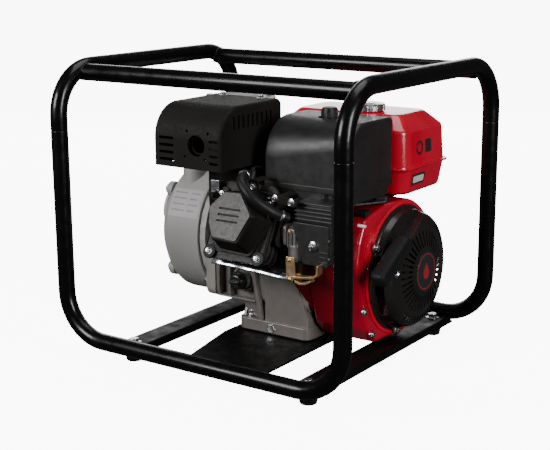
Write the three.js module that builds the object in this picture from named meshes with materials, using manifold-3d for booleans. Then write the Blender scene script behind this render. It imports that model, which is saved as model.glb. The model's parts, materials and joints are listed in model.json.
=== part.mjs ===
// Portable fire pump: a slant-cylinder petrol engine with a close-coupled centrifugal pump in a
// carry frame of bent tube. Millimetres, +Z up, +X along the crankshaft towards the recoil starter,
// -Y towards the valve cover. The origin is at the middle of the footprint, on the ground.
import * as THREE from 'three';
import { mergeVertices } from 'three/addons/utils/BufferGeometryUtils.js';
import Module from 'manifold-3d';

const wasm = await Module();
wasm.setup();

// ---------------------------------------------------------------- driving dimensions
const GAP = 0.3; // between pieces that touch

const tube = { radius: 12.7, sides: 12, bend: 70, bendSteps: 5 };
const frameBox = { length: 492, width: 424, low: 30, high: 434, joint: 344 };
const rail = { y: 162, z: 426 };
const crossMember = { width: 42, top: 27, height: 12, wall: 3, leftX: -142, rightX: 172 };
const foot = { y: 180, lowRadius: 12, topRadius: 15 };
const plate = { left: -62, right: 98, thickness: 4 };

const crank = { y: 70, z: 135 }; // crankshaft axis
const cylinder = { x: 9, tilt: THREE.MathUtils.degToRad(25), deck: 138, headTop: 197, bore: 34 };
const throwRadius = 27; // half of the stroke
const caseSpan = { left: -98, right: 74 };
const baseFlange = { left: -52, right: 77, front: -31, back: 156, height: 20 };

const drum = { y: 70, z: 158, radius: 108, left: -203, right: -130.3, wall: 5 };
const inlet = { z: 176, bore: 34, outer: 42, end: -256 };
const outlet = { x: -161, y: 118, bore: 34, outer: 42, flange: 60, top: 366 };
const impeller = { radius: 50, right: -137, left: -157 };

const shroud = { left: 80, right: 172, wall: 2.5 };
const recoil = { radius: 95, rim: 80, front: 205, nose: 216, wall: 2.5 };
const pulley = { left: 197, right: 207, radius: 50, groove: 41.7 };
const pull = Math.SQRT1_2; // the handle is pulled along (0, -pull, +pull)
const grip = { y: -25, z: 171, left: 200, right: 222, half: 46, thick: 24, slope: Math.PI / 6 };

const cleaner = { left: 15, right: 165, front: -60, back: 55, low: 265, top: 364, round: 60, endRound: 34 };
const shield = { left: -137, right: -13, front: -128, back: 28, low: 291, top: 382, round: 50 };
const tank = { left: -55, right: 185, front: 58, back: 206, low: 243, seam: 284, top: 361 };
const filler = { x: 100, y: 95 }; // the tank's neck and cap
const carb = { x: 88, y: -80, z: 203 };

// ---------------------------------------------------------------- finishes
const finish = (color, roughness, metalness) =>
  new THREE.MeshStandardMaterial({ color, roughness, metalness });
const blackPaint = finish(0x0c0c0d, 0.25, 0.2);
const rubber = finish(0x141414, 0.85, 0);
const castGrey = finish(0x77736d, 0.5, 0.7);
const castSilver = finish(0xa9a8a5, 0.42, 0.75);
const darkCast = finish(0x4a4744, 0.55, 0.5);
const blackSheet = finish(0x151414, 0.55, 0.2);
const blackPlastic = finish(0x1a1a1b, 0.45, 0);
const redPaint = finish(0xb80f1c, 0.25, 0.1);
const steel = finish(0xb4b6b8, 0.35, 0.9);
const brass = finish(0xb08a4a, 0.4, 0.85);
const chrome = finish(0xd8dadc, 0.12, 1);
const foam = finish(0x2c2b29, 0.95, 0);

// ---------------------------------------------------------------- solids
function signedVolume(positions, corners) {
  const [a, b, c] = [new THREE.Vector3(), new THREE.Vector3(), new THREE.Vector3()];
  let sum = 0;
  for (let i = 0; i < corners.length; i += 3) {
    a.fromArray(positions, corners[i] * 3);
    b.fromArray(positions, corners[i + 1] * 3);
    c.fromArray(positions, corners[i + 2] * 3);
    sum += a.dot(b.cross(c)) / 6;
  }
  return sum;
}

// A closed geometry as a manifold: shared vertices merged, collapsed triangles left out, faces out.
function solid(geometry) {
  const bare = new THREE.BufferGeometry();
  const flat = geometry.index ? geometry.toNonIndexed() : geometry;
  bare.setAttribute('position', flat.attributes.position.clone());
  const merged = mergeVertices(bare, 1e-4);
  const corners = merged.index.array;
  const triVerts = [];
  for (let i = 0; i < corners.length; i += 3) {
    const [a, b, c] = corners.slice(i, i + 3);
    if (a !== b && b !== c && c !== a) {
      triVerts.push(a, b, c);
    }
  }
  if (signedVolume(merged.attributes.position.array, triVerts) < 0) {
    triVerts.reverse();
  }
  return new wasm.Manifold(new wasm.Mesh({
    numProp: 3,
    vertProperties: new Float32Array(merged.attributes.position.array),
    triVerts: new Uint32Array(triVerts),
  }));
}

function geometryOf(manifold) {
  const mesh = manifold.getMesh();
  const geometry = new THREE.BufferGeometry();
  geometry.setAttribute('position', new THREE.BufferAttribute(new Float32Array(mesh.vertProperties), 3));
  geometry.setIndex(new THREE.BufferAttribute(new Uint32Array(mesh.triVerts), 1));
  return geometry;
}

function join(first, ...others) {
  return geometryOf(others.reduce((sum, next) => sum.add(solid(next)), solid(first)));
}

function cut(first, ...tools) {
  return geometryOf(tools.reduce((rest, tool) => rest.subtract(solid(tool)), solid(first)));
}

function common(first, second) {
  return geometryOf(solid(first).intersect(solid(second)));
}

// ---------------------------------------------------------------- shapes
// Turns a geometry whose own axis is +Z so that the axis lies along x, y or z. The cross-section's
// (x, y) becomes (y, z) for x, and (z, x) for y.
function along(axis, geometry) {
  const basis = {
    x: [[0, 1, 0], [0, 0, 1], [1, 0, 0]],
    y: [[0, 0, 1], [1, 0, 0], [0, 1, 0]],
    z: [[1, 0, 0], [0, 1, 0], [0, 0, 1]],
  }[axis].map((v) => new THREE.Vector3(...v));
  return geometry.applyMatrix4(new THREE.Matrix4().makeBasis(...basis));
}

function box(x0, x1, y0, y1, z0, z1) {
  return new THREE.BoxGeometry(x1 - x0, y1 - y0, z1 - z0)
    .translate((x0 + x1) / 2, (y0 + y1) / 2, (z0 + z1) / 2);
}

// A turned piece: the profile is a list of [distance along the axis, radius], starting and ending on
// the axis, or closed. The centre is where the axis passes, in the plane across it.
function turned(axis, profile, centre, sides = 24) {
  const lathe = new THREE.LatheGeometry(profile.map(([t, r]) => new THREE.Vector2(r, t)), sides);
  lathe.rotateX(Math.PI / 2);
  const placed = along(axis, lathe);
  const [p, q] = centre;
  const shift = { x: [0, p, q], y: [p, 0, q], z: [p, q, 0] }[axis];
  return placed.translate(...shift);
}

const bar = (axis, from, to, radius, centre, sides = 24) =>
  turned(axis, [[from, 0], [from, radius], [to, radius], [to, 0]], centre, sides);

const washer = (axis, from, to, inner, outer, centre, sides = 24) =>
  cut(bar(axis, from, to, outer, centre, sides), bar(axis, from - 1, to + 1, inner, centre, sides));

// An outline of [x, y] points pushed from one height to another along an axis.
function prism(axis, outline, from, to) {
  const shape = new THREE.Shape(outline.map(([x, y]) => new THREE.Vector2(x, y)));
  const depth = to - from;
  const geometry = new THREE.ExtrudeGeometry(shape, { depth, bevelEnabled: false });
  return along(axis, geometry.translate(0, 0, from));
}

// A closed outline with rounded corners. Each corner is [x, y, radius].
function rounded(corners, steps = 3) {
  const points = [];
  corners.forEach(([x, y, radius], i) => {
    const corner = new THREE.Vector2(x, y);
    const [px, py] = corners[(i + corners.length - 1) % corners.length];
    const [nx, ny] = corners[(i + 1) % corners.length];
    const before = new THREE.Vector2(px, py).sub(corner).normalize();
    const after = new THREE.Vector2(nx, ny).sub(corner).normalize();
    if (radius === 0) {
      points.push([x, y]);
      return;
    }
    const half = before.angleTo(after) / 2;
    const inset = radius / Math.tan(half);
    const toCentre = before.clone().add(after).normalize().multiplyScalar(radius / Math.sin(half));
    const centre = toCentre.add(corner);
    const start = before.multiplyScalar(inset).add(corner).sub(centre);
    const end = after.multiplyScalar(inset).add(corner).sub(centre);
    const sweep = Math.atan2(start.x * end.y - start.y * end.x, start.dot(end));
    for (let k = 0; k <= steps; k += 1) {
      const point = start.clone().rotateAround(new THREE.Vector2(), (sweep * k) / steps).add(centre);
      points.push([point.x, point.y]);
    }
  });
  return points;
}

const roundedRect = (x0, x1, y0, y1, radius, steps = 3) =>
  rounded([[x0, y0, radius], [x1, y0, radius], [x1, y1, radius], [x0, y1, radius]], steps);

// A solid through sections that all have the same number of points, each at its own height on +Z.
function loft(sections) {
  const count = sections[0].points.length;
  const positions = sections.flatMap(({ points, z }) => points.flatMap(([x, y]) => [x, y, z]));
  const index = [];
  for (let level = 0; level + 1 < sections.length; level += 1) {
    for (let i = 0; i < count; i += 1) {
      const a = level * count + i;
      const b = level * count + ((i + 1) % count);
      index.push(a, b, b + count, a, b + count, a + count);
    }
  }
  const outline = sections[0].points.map(([x, y]) => new THREE.Vector2(x, y));
  const last = (sections.length - 1) * count;
  THREE.ShapeUtils.triangulateShape(outline, []).forEach(([a, b, c]) => {
    index.push(a, c, b);
    index.push(last + a, last + b, last + c);
  });
  const geometry = new THREE.BufferGeometry();
  geometry.setAttribute('position', new THREE.Float32BufferAttribute(positions, 3));
  geometry.setIndex(index);
  return geometry;
}

const scaled = (points, factor, [cx, cy]) =>
  points.map(([x, y]) => [cx + (x - cx) * factor, cy + (y - cy) * factor]);

// A path through listed stations, straight between neighbours, sampled exactly at each of them.
class StationPath extends THREE.Curve {
  constructor(stations) {
    super();
    this.stations = stations.map((s) => new THREE.Vector3(...s));
  }

  getPoint(t) {
    const place = t * (this.stations.length - 1);
    const i = Math.min(Math.floor(place + 1e-6), this.stations.length - 2);
    return this.stations[i].clone().lerp(this.stations[i + 1], place - i);
  }

  getPointAt(t) {
    return this.getPoint(t);
  }

  getTangentAt(t) {
    const i = Math.round(t * (this.stations.length - 1));
    const before = this.stations[Math.max(i - 1, 0)];
    const after = this.stations[Math.min(i + 1, this.stations.length - 1)];
    const here = this.stations[i];
    const tangent = new THREE.Vector3();
    if (i > 0) {
      tangent.add(here.clone().sub(before).normalize());
    }
    if (i < this.stations.length - 1) {
      tangent.add(after.clone().sub(here).normalize());
    }
    return tangent.normalize();
  }
}

function sweep(stations, radius, sides) {
  const circle = new THREE.Shape();
  for (let k = 0; k < sides; k += 1) {
    const angle = (2 * Math.PI * k) / sides;
    const point = [radius * Math.cos(angle), radius * Math.sin(angle)];
    if (k === 0) {
      circle.moveTo(...point);
    } else {
      circle.lineTo(...point);
    }
  }
  const extrudePath = new StationPath(stations);
  const steps = stations.length - 1;
  return new THREE.ExtrudeGeometry(circle, { steps, extrudePath, bevelEnabled: false });
}

// A smooth hose through hand-placed points.
function hose(points, radius, sides, steps) {
  const curve = new THREE.CatmullRomCurve3(points.map((p) => new THREE.Vector3(...p)));
  const stations = curve.getSpacedPoints(steps).map((p) => p.toArray());
  return sweep(stations, radius, sides);
}

// ---------------------------------------------------------------- assembly
const pump = new THREE.Group();
const engine = new THREE.Group();
const slant = new THREE.Group(); // +Z runs up the cylinder, from the crankshaft axis
engine.position.set(0, crank.y, crank.z);
slant.position.set(cylinder.x, 0, 0);
slant.rotation.x = Math.PI / 2 - cylinder.tilt;
pump.add(engine);
engine.add(slant);

function place(parent, name, geometry, material) {
  geometry.computeVertexNormals();
  const mesh = new THREE.Mesh(geometry, material);
  mesh.name = name;
  parent.add(mesh);
}

// ---------------------------------------------------------------- frame
// One end of a bent U: a point at distance t round the bend from its straight leg.
function bendStations(side, legEnd, cross, inward) {
  const stations = [];
  for (let k = 0; k <= tube.bendSteps; k += 1) {
    const angle = (Math.PI / 2) * (k / tube.bendSteps);
    const across = side * (cross - tube.bend * (1 - Math.cos(angle)));
    stations.push([across, legEnd + inward * tube.bend * Math.sin(angle)]);
  }
  return stations;
}

// A U of tube in a plane: legs at +-cross, running from jointZ to the far level.
function uStations(cross, jointZ, farZ) {
  const inward = Math.sign(farZ - jointZ);
  const legEnd = farZ - inward * tube.bend;
  const left = bendStations(-1, legEnd, cross, inward);
  const right = bendStations(1, legEnd, cross, inward).reverse();
  return [[-cross, jointZ], ...left, ...right, [cross, jointZ]];
}

const halfLength = frameBox.length / 2;
const halfWidth = frameBox.width / 2;
const hoopStations = (x) =>
  uStations(halfWidth, frameBox.joint + GAP / 2, frameBox.high).map(([y, z]) => [x, y, z]);
const sillStations = (y) =>
  uStations(halfLength, frameBox.joint - GAP / 2, frameBox.low).map(([x, z]) => [x, y, z]);

function buildFrame() {
  for (const [side, x] of [['left', -halfLength], ['right', halfLength]]) {
    place(pump, `${side}_hoop`, sweep(hoopStations(x), tube.radius, tube.sides), blackPaint);
  }
  for (const [side, y] of [['front', -halfWidth], ['rear', halfWidth]]) {
    place(pump, `${side}_sill`, sweep(sillStations(y), tube.radius, tube.sides), blackPaint);
  }
  const hoopClearance = [-halfLength, halfLength].map((x) =>
    sweep(hoopStations(x), tube.radius + 2 * GAP, tube.sides));
  for (const [side, y] of [['front', -rail.y], ['rear', rail.y]]) {
    const straight = bar('x', -halfLength, halfLength, tube.radius, [y, rail.z], tube.sides);
    const coped = cut(straight, ...hoopClearance, box(-400, -halfLength, -300, 300, 300, 500),
      box(halfLength, 400, -300, 300, 300, 500));
    place(pump, `${side}_rail`, largest(coped), blackPaint);
  }
  const sillClearance = [-halfWidth, halfWidth].map((y) =>
    bar('x', -halfLength, halfLength, tube.radius + GAP, [y, frameBox.low], 24));
  const low = crossMember.top - crossMember.height;
  for (const [side, x] of [['left', crossMember.leftX], ['right', crossMember.rightX]]) {
    const half = crossMember.width / 2;
    const outer = box(x - half, x + half, -halfWidth, halfWidth, low, crossMember.top);
    const hollow = box(x - half + crossMember.wall, x + half - crossMember.wall,
      -halfWidth - 1, halfWidth + 1, low - 1, crossMember.top - crossMember.wall);
    place(pump, `${side}_crossmember`, largest(cut(outer, hollow, ...sillClearance)), blackPaint);
  }
  for (const [side, x] of [['left', crossMember.leftX], ['right', crossMember.rightX]]) {
    for (const [end, y] of [['front', -foot.y], ['rear', foot.y]]) {
      const top = crossMember.top - crossMember.wall - GAP;
      const { lowRadius, topRadius } = foot;
      const profile = [[0, 0], [0, lowRadius], [low - 1, topRadius], [top, topRadius], [top, 0]];
      place(pump, `foot_${end}_${side}`, turned('z', profile, [x, y], 16), rubber);
    }
  }
  const outline = [[plate.right, -halfWidth], [plate.right, halfWidth], [plate.left + 30, halfWidth],
    [plate.left, 60], [plate.left, -60], [plate.left + 30, -halfWidth]];
  const sheet = prism('z', outline, crossMember.top - plate.thickness, crossMember.top);
  place(pump, 'engine_plate', largest(cut(sheet, ...sillClearance)), blackPaint);
}

// The biggest separate body of a cut, without the slivers beyond the tool.
function largest(geometry) {
  const bodies = solid(geometry).decompose();
  bodies.sort((a, b) => b.volume() - a.volume());
  return geometryOf(bodies[0]);
}

// ---------------------------------------------------------------- crankcase and cylinder
const slantMatrix = () => {
  const turn = new THREE.Matrix4().makeRotationX(Math.PI / 2 - cylinder.tilt);
  return new THREE.Matrix4().makeTranslation(cylinder.x, 0, 0).multiply(turn);
};
const inEngine = (geometry) => geometry.applyMatrix4(slantMatrix());

// The crankcase outline seen along the crankshaft, in (y, z) from its axis.
const caseOutline = (grow = 0) => rounded([
  [-104 - grow, -66 - grow, 14], [74 + grow, -66 - grow, 14], [84 + grow, 20, 20], [58, 72 + grow, 24],
  [-20, 88 + grow, 24], [-70, 62 + grow, 20], [-104 - grow, 10, 20]], 2);

function finStack(from, to, count, halfX, halfY, thickness) {
  const fins = [];
  for (let i = 0; i < count; i += 1) {
    const s = from + ((to - from - thickness) * i) / (count - 1);
    fins.push(prism('z', roundedRect(-halfX, halfX, -halfY, halfY, 10, 1), s, s + thickness));
  }
  return fins;
}

function buildCrankcase() {
  const { left, right, front, back, height } = baseFlange;
  const baseLow = crossMember.top + GAP - crank.z;
  const base = prism('z', roundedRect(left, right, front - crank.y, back - crank.y, 15, 2),
    baseLow, baseLow + height);
  const pedestal = box(left + 4, right - 6, front - crank.y + 6, back - crank.y - 8, baseLow + 2, -40);
  const body = prism('x', caseOutline(), caseSpan.left, caseSpan.right);
  const barrel = inEngine(bar('z', 50, cylinder.deck, cylinder.bore + 9, [0, 0], 20));
  const fins = finStack(84, 128, 4, 50, 50, 3.5).map(inEngine);
  const deck = inEngine(prism('z', roundedRect(-46, 46, -46, 46, 12, 2), 130, cylinder.deck));
  const fillerAxis = [-42, -27];
  const drainAxis = [10, -98];
  const fillerBoss = turned('y', [[-118, 0], [-118, 13], [-90, 15], [-90, 0]], fillerAxis, 16);
  const frontPocket = box(-90, -26, -115, -94, -58, -5);
  const pocketed = cut(join(base, pedestal, body), frontPocket);
  const solidCase = join(pocketed, barrel, ...fins, deck, fillerBoss);
  const cavity = bar('x', caseSpan.left - 1, caseSpan.right - 14, 58, [0, 0], 24);
  const bore = inEngine(bar('z', 0, cylinder.deck + 1, cylinder.bore, [0, 0], 24));
  const mainBearing = bar('x', 0, caseSpan.right + 20, 15.5, [0, 0], 20);
  const fillerHole = bar('y', -130, -40, 9, fillerAxis, 12);
  const drainHole = bar('y', -110, -88, 5, drainAxis, 12);
  place(engine, 'crankcase', cut(solidCase, cavity, bore, mainBearing, fillerHole, drainHole), castGrey);

  const coverRight = caseSpan.left - GAP;
  const cover = prism('x', caseOutline(), coverRight - 20, coverRight);
  const shaftHole = bar('x', -140, -80, 15.5, [0, 0], 20);
  const recess = bar('x', coverRight - 12, coverRight + 1, 56, [0, 0], 24);
  place(engine, 'side_cover', cut(cover, recess, shaftHole), castGrey);

  const capFace = -118 - GAP;
  const capProfile = [[-130, 0], [-130, 12], [capFace, 13], [capFace, 8.4], [-98, 8.4], [-98, 0]];
  place(engine, 'oil_filler_cap', turned('y', capProfile, fillerAxis, 16), blackPlastic);
  const boltFace = -101 - GAP;
  const boltProfile = [[-109, 0], [-109, 8], [boltFace, 8], [boltFace, 4.6], [-91, 4.6], [-91, 0]];
  place(engine, 'oil_drain_bolt', turned('y', boltProfile, drainAxis, 6), steel);
}

function buildHead() {
  const bottom = cylinder.deck + GAP;
  const block = prism('z', roundedRect(-42, 42, -44, 44, 10, 2), bottom, cylinder.headTop);
  const fins = finStack(bottom + 4, cylinder.headTop - 8, 4, 46, 52, 3.5);
  const intake = prism('x', roundedRect(-22, 22, 152, 178, 6, 2), 40, 52.4);
  const exhaust = prism('x', roundedRect(-18, 22, 148, 178, 6, 2), -46.4, -40);
  const top = prism('z', roundedRect(-50, 50, -58, 58, 12, 2), cylinder.headTop - 6, cylinder.headTop);
  const intakeBore = bar('x', 10, 60, 9, [0, 165], 12);
  const exhaustBore = bar('x', -60, -10, 9, [4, 164], 12);
  const chamber = bar('z', bottom - 1, bottom + 10, 26, [0, 0], 16);
  const plugHole = bar('y', 20, 60, 5.6, [-22, 170], 10);
  const casting = join(block, ...fins, intake, exhaust, top);
  place(slant, 'cylinder_head', cut(casting, intakeBore, exhaustBore, chamber, plugHole), darkCast);

  const flangeLow = cylinder.headTop + GAP;
  const flange = prism('z', rounded([[-51, -58, 14], [54, -58, 14], [54, 58, 14], [-51, 58, 14]], 2),
    flangeLow, flangeLow + 6);
  const face = [[-13, 34], [-33, 10], [-28, -15], [-16, -35], [27, -37], [42, 5], [16, 35]];
  const dome = loft([
    { points: scaled(face, 1.3, [4, 0]), z: flangeLow + 4 },
    { points: scaled(face, 1.12, [4, 0]), z: 224 },
    { points: face, z: 235 },
  ]);
  const hollow = loft([
    { points: scaled(face, 1.16, [4, 0]), z: flangeLow - 1 },
    { points: scaled(face, 0.98, [4, 0]), z: 223 },
  ]);
  place(slant, 'valve_cover', cut(join(flange, dome), hollow), darkCast);

  const plugProfile = [[36, 0], [36, 5], [52 + GAP, 5], [52 + GAP, 9], [62, 9], [62, 5], [78, 4], [78, 0]];
  place(slant, 'spark_plug', turned('y', plugProfile, [-22, 170], 10), steel);
}

// ---------------------------------------------------------------- crank train
const pinToPin = 84;
const wristPin = throwRadius + pinToPin;

function buildCrankTrain() {
  const webTop = throwRadius + 15;
  const webOutline = rounded([[-30, -34, 14], [30, -34, 14], [17, webTop, 12], [-17, webTop, 12]], 3);
  const shaft = join(
    bar('x', -166, -109, 10, [0, 0], 16),
    bar('x', -109, -26, 15, [0, 0], 20),
    prism('x', webOutline, -27, -10),
    bar('x', -11, 11, 14, [0, throwRadius], 16),
    prism('x', webOutline, 10, 27),
    bar('x', 26, 76, 15, [0, 0], 20),
    bar('x', 76, 156, 10, [0, 0], 16),
  );
  place(slant, 'crankshaft', shaft, steel);
  place(slant, 'rod_big_end', washer('x', -8, 8, 14 + 2 * GAP, 21, [0, throwRadius], 20), castGrey);
  const shank = prism('x', [[-7, 49], [7, 49], [6, wristPin - 8], [-6, wristPin - 8]], -6, 6);
  const smallEnd = washer('x', -8, 8, 7 + 2 * GAP, 13, [0, wristPin], 16);
  place(slant, 'connecting_rod', join(shank, smallEnd), castGrey);
  const crown = bar('z', 90, 136, cylinder.bore - GAP, [0, 0], 24);
  const skirt = bar('z', 88, 130, cylinder.bore - 6, [0, 0], 20);
  const bosses = join(box(-33, -11, -11, 11, 96, 132), box(11, 33, -11, 11, 96, 132));
  const insideSkirt = bar('z', 90, 136, cylinder.bore - 2, [0, 0], 24);
  const pin = bar('x', -30, 30, 7, [0, wristPin], 16);
  place(slant, 'piston', join(cut(crown, skirt), common(bosses, insideSkirt), pin), castSilver);
}

function buildFlywheel() {
  const blades = [];
  for (let k = 0; k < 12; k += 1) {
    const blade = box(112, 136, -1.5, 1.5, 50, 76);
    blades.push(blade.rotateX((k * Math.PI) / 6));
  }
  const disc = turned('x', [[98, 0], [98, 78], [114, 78], [114, 48], [106, 30], [106, 0]], [0, 0], 32);
  const hole = bar('x', 80, 170, 10 + 2 * GAP, [0, 0], 16);
  place(engine, 'flywheel_fan', cut(join(disc, ...blades), hole), castSilver);
  const cup = turned('x', [[120, 0], [120, 32], [164, 32], [164, 28], [126, 28], [126, 0]], [0, 0], 20);
  place(engine, 'starter_cup', cut(cup, bar('x', 110, 130, 10 + 2 * GAP, [0, 0], 16)), steel);
  const coil = box(99, 125, -13, 13, 81, 103);
  place(engine, 'ignition_coil', coil.rotateX(Math.PI / 4), blackPlastic);
}

// ---------------------------------------------------------------- fan shroud and recoil starter
const shroudOutline = (shrink) => {
  const r = 104 - shrink;
  const points = [];
  for (let k = 0; k <= 12; k += 1) {
    const angle = THREE.MathUtils.degToRad(-84 + 14 * k);
    points.push([r * Math.cos(angle), r * Math.sin(angle)]);
  }
  const duct = [[-50, 104 - shrink], [-104 + shrink, 88 - shrink], [-118 + shrink, 60],
    [-126 + shrink, 26], [-92 + shrink, -78], [-72 + shrink, -100 + shrink]];
  return [...points, ...duct];
};

function buildShroud() {
  const outer = prism('x', shroudOutline(0), shroud.left, shroud.right);
  const inner = prism('x', shroudOutline(shroud.wall), shroud.left - 1, shroud.right - shroud.wall);
  const opening = bar('x', shroud.right - 10, shroud.right + 10, 84, [0, 0], 32);
  place(engine, 'fan_shroud', cut(outer, inner, opening), redPaint);

  const base = shroud.right + GAP;
  const shell = turned('x', [[base, 0], [base, recoil.radius], [base + 4, recoil.radius], [base + 5, 91],
    [recoil.front - 8, 84], [recoil.front, recoil.rim - 2], [recoil.front + 4, 60], [recoil.nose, 32],
    [recoil.nose, 0]], [0, 0], 28);
  const hollow = turned('x', [[base - 1, 0], [base - 1, 88], [base + 5, 88], [recoil.front - 9, 81],
    [recoil.front - 3, recoil.rim - 5], [recoil.front + 1, 58], [recoil.nose - 3, 30],
    [recoil.nose - 3, 0]], [0, 0], 28);
  // A flat side facing the handle, cut across the cover's upper front corner.
  const flatSide = box(base + 14, 240, -100, 100, 64, 140).rotateX(grip.slope);
  const behindFlat = box(base + 11.5, 240, -100, 100, 61.5, 140).rotateX(grip.slope);
  const walls = cut(cut(shell, flatSide), cut(hollow, behindFlat));
  const ropeHole = ropeBar(5, 20, 120);
  place(engine, 'recoil_cover', cut(walls, ropeHole), blackPlastic);

  const disc = turned('x', [[pulley.left, 0], [pulley.left, pulley.radius],
    [pulley.left + 1.5, pulley.radius], [pulley.left + 2.5, pulley.groove - 3],
    [pulley.right - 2.5, pulley.groove - 3], [pulley.right - 1.5, pulley.radius],
    [pulley.right, pulley.radius], [pulley.right, 0]], [0, 0], 24);
  place(engine, 'recoil_pulley', disc, blackPlastic);
}

// A bar along the line on which the starter rope leaves its pulley, between two distances.
function ropeBar(radius, from, to) {
  const x = (pulley.left + pulley.right) / 2;
  const start = [x, -pulley.groove * pull - from * pull, -pulley.groove * pull + from * pull];
  const end = [x, -pulley.groove * pull - to * pull, -pulley.groove * pull + to * pull];
  return sweep([start, end], radius, 8);
}

function buildHandle() {
  const gripY = grip.y - crank.y;
  const gripZ = grip.z - crank.z;
  const half = grip.thick / 2;
  const section = roundedRect(-grip.half, grip.half, -half, half, 9, 2);
  const bulk = loft([
    { points: scaled(section, 0.9, [0, 0]), z: grip.left },
    { points: section, z: grip.left + 5 },
    { points: section, z: grip.right - 5 },
    { points: scaled(section, 0.9, [0, 0]), z: grip.right },
  ]);
  const bulkAcross = along('x', bulk).rotateX(grip.slope).translate(0, gripY, gripZ);
  place(engine, 'recoil_handle', bulkAcross, blackPlastic);
  place(engine, 'recoil_rope', ropeBar(2.4, 22, 79), rubber);
}

// ---------------------------------------------------------------- air cleaner and carburettor
// The cleaner cover seen along the crankshaft: upright front, one big round to the flat top.
function cleanerOutline(shrink, round) {
  const { front, back, low, top } = cleaner;
  const bottom = shrink > 0 ? low - 1 : low;
  return rounded([[front + shrink, bottom, 0], [back - shrink, bottom, 0], [back - shrink, top - shrink, 8],
    [front + shrink, top - shrink, round - shrink]], 5);
}

// The cover's round tightens from its left end to its right.
function cleanerSolid(shrink) {
  const { left, right, round, endRound } = cleaner;
  const sections = [
    { points: cleanerOutline(shrink, round), z: left + shrink },
    { points: cleanerOutline(shrink, endRound), z: right - shrink },
  ];
  return along('x', loft(sections));
}

function buildIntake() {
  const { left, right, front, back, low, top } = cleaner;
  const shell = cleanerSolid(0);
  const hollow = cleanerSolid(2.5);
  const stud = { x: 90, y: 0 };
  const studHole = bar('z', top - 8, top + 5, 4, [stud.x, stud.y], 12);
  place(pump, 'air_cleaner_cover', cut(shell, hollow, studHole), blackPlastic);

  const knobTop = top + 15;
  const knobProfile = [[top - 10, 0], [top - 10, 3.2], [top + GAP, 3.2], [top + GAP, 12], [knobTop, 11],
    [knobTop, 0]];
  place(pump, 'air_cleaner_knob', turned('z', knobProfile, [stud.x, stud.y], 12), blackPlastic);

  const trayLow = 250;
  const tray = prism('z', roundedRect(left + 2, right - 2, front + 2, back - 3, 6, 2), trayLow, low - GAP);
  const neck = box(92, 152, front - 30, -36, 226, trayLow + 2);
  const airHole = bar('z', 220, low + 5, 12, [124, -62], 16);
  place(pump, 'air_cleaner_base', cut(join(tray, neck), airHole), blackPlastic);

  const element = prism('z', roundedRect(left + 12, right - 12, front + 14, back - 12, 12, 2),
    low, low + 66);
  const coreOutline = roundedRect(left + 30, right - 30, front + 32, back - 30, 6, 2);
  const core = prism('z', coreOutline, low - 1, low + 70);
  place(pump, 'air_filter_element', cut(element, core), foam);

  const elbowLeft = carb.x + 17 + GAP;
  const elbowTop = 226 - GAP;
  const elbowOutline = [[166, elbowLeft + 2], [elbowTop, elbowLeft - 10], [elbowTop, 150], [166, 150]];
  const elbowBox = prism('y', elbowOutline, -90, -58);
  const throat = bar('x', elbowLeft - 20, 124, 10, [carb.y + 5, carb.z], 16);
  const riser = bar('z', carb.z - 10, elbowTop + 1, 12, [124, -74], 16);
  const elbowClear = box(60, elbowLeft, -100, -50, 160, 226);
  place(pump, 'intake_elbow', cut(elbowBox, throat, riser, elbowClear), blackPlastic);

  const bodyLeft = 62;
  const body = join(
    box(bodyLeft, carb.x + 17, -94, -59, 186, 216),
    bar('z', 166, 190, 14, [carb.x, carb.y], 16),
    box(carb.x - 8, carb.x + 8, -90, -70, 214, 222),
  );
  const bore = bar('x', bodyLeft - 5, carb.x + 30, 9, [carb.y + 5, carb.z], 16);
  place(pump, 'carburettor', cut(body, bore), castSilver);
  const bowl = turned('z', [[139, 0], [139, 12], [144, 18], [166 - GAP, 18], [166 - GAP, 0]],
    [carb.x, carb.y], 20);
  place(pump, 'float_bowl', bowl, brass);
}

// ---------------------------------------------------------------- exhaust
function shieldOutline(shrink) {
  const { front, back, low, top, round } = shield;
  const bottom = shrink > 0 ? low - 1 : low;
  return rounded([[front + shrink, bottom, 0], [back - shrink, bottom, 0], [back - shrink, top - shrink, 8],
    [front + shrink, top - shrink, round - shrink]], 5);
}

function buildExhaust() {
  const sheet = 2;
  const shell = prism('x', shieldOutline(0), shield.left, shield.right);
  const hollow = prism('x', shieldOutline(sheet), shield.left + sheet, shield.right - sheet);
  const tail = { x: -57, z: 326 };
  const tailHole = bar('y', shield.front - 5, shield.front + 10, 15, [tail.x, tail.z], 20);
  const slots = [];
  for (let k = 0; k < 4; k += 1) {
    const z = 302 + 11 * k;
    slots.push(box(-127, -99, shield.front - 5, shield.front + 10, z - 2, z + 2));
    slots.push(box(-33, -17, shield.front - 5, shield.front + 10, z - 2, z + 2));
  }
  place(pump, 'muffler_shield', cut(shell, hollow, tailHole, ...slots), blackSheet);

  const canOutline = [[-112, 298, 14], [16, 298, 14], [16, 372, 14], [-112, 372, 20]];
  const can = prism('x', rounded(canOutline, 2), -129, -21);
  const insideOutline = [[-110, 300, 12], [14, 300, 12], [14, 370, 12], [-110, 370, 18]];
  const canHollow = prism('x', rounded(insideOutline, 2), -127, -23);
  const tailPipe = washer('y', -125, -108, 10, 12, [tail.x, tail.z], 16);
  const tailBore = bar('y', -130, -100, 10, [tail.x, tail.z], 16);
  const down = bar('z', 206, 300, 12, [-60, -76], 16);
  const across = box(-60, -37.8, -88, -64, 206, 232);
  const downBore = bar('z', 216, 310, 9, [-60, -76], 16);
  place(pump, 'muffler_can', cut(join(can, tailPipe, down, across), canHollow, tailBore, downBore), steel);
}

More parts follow.
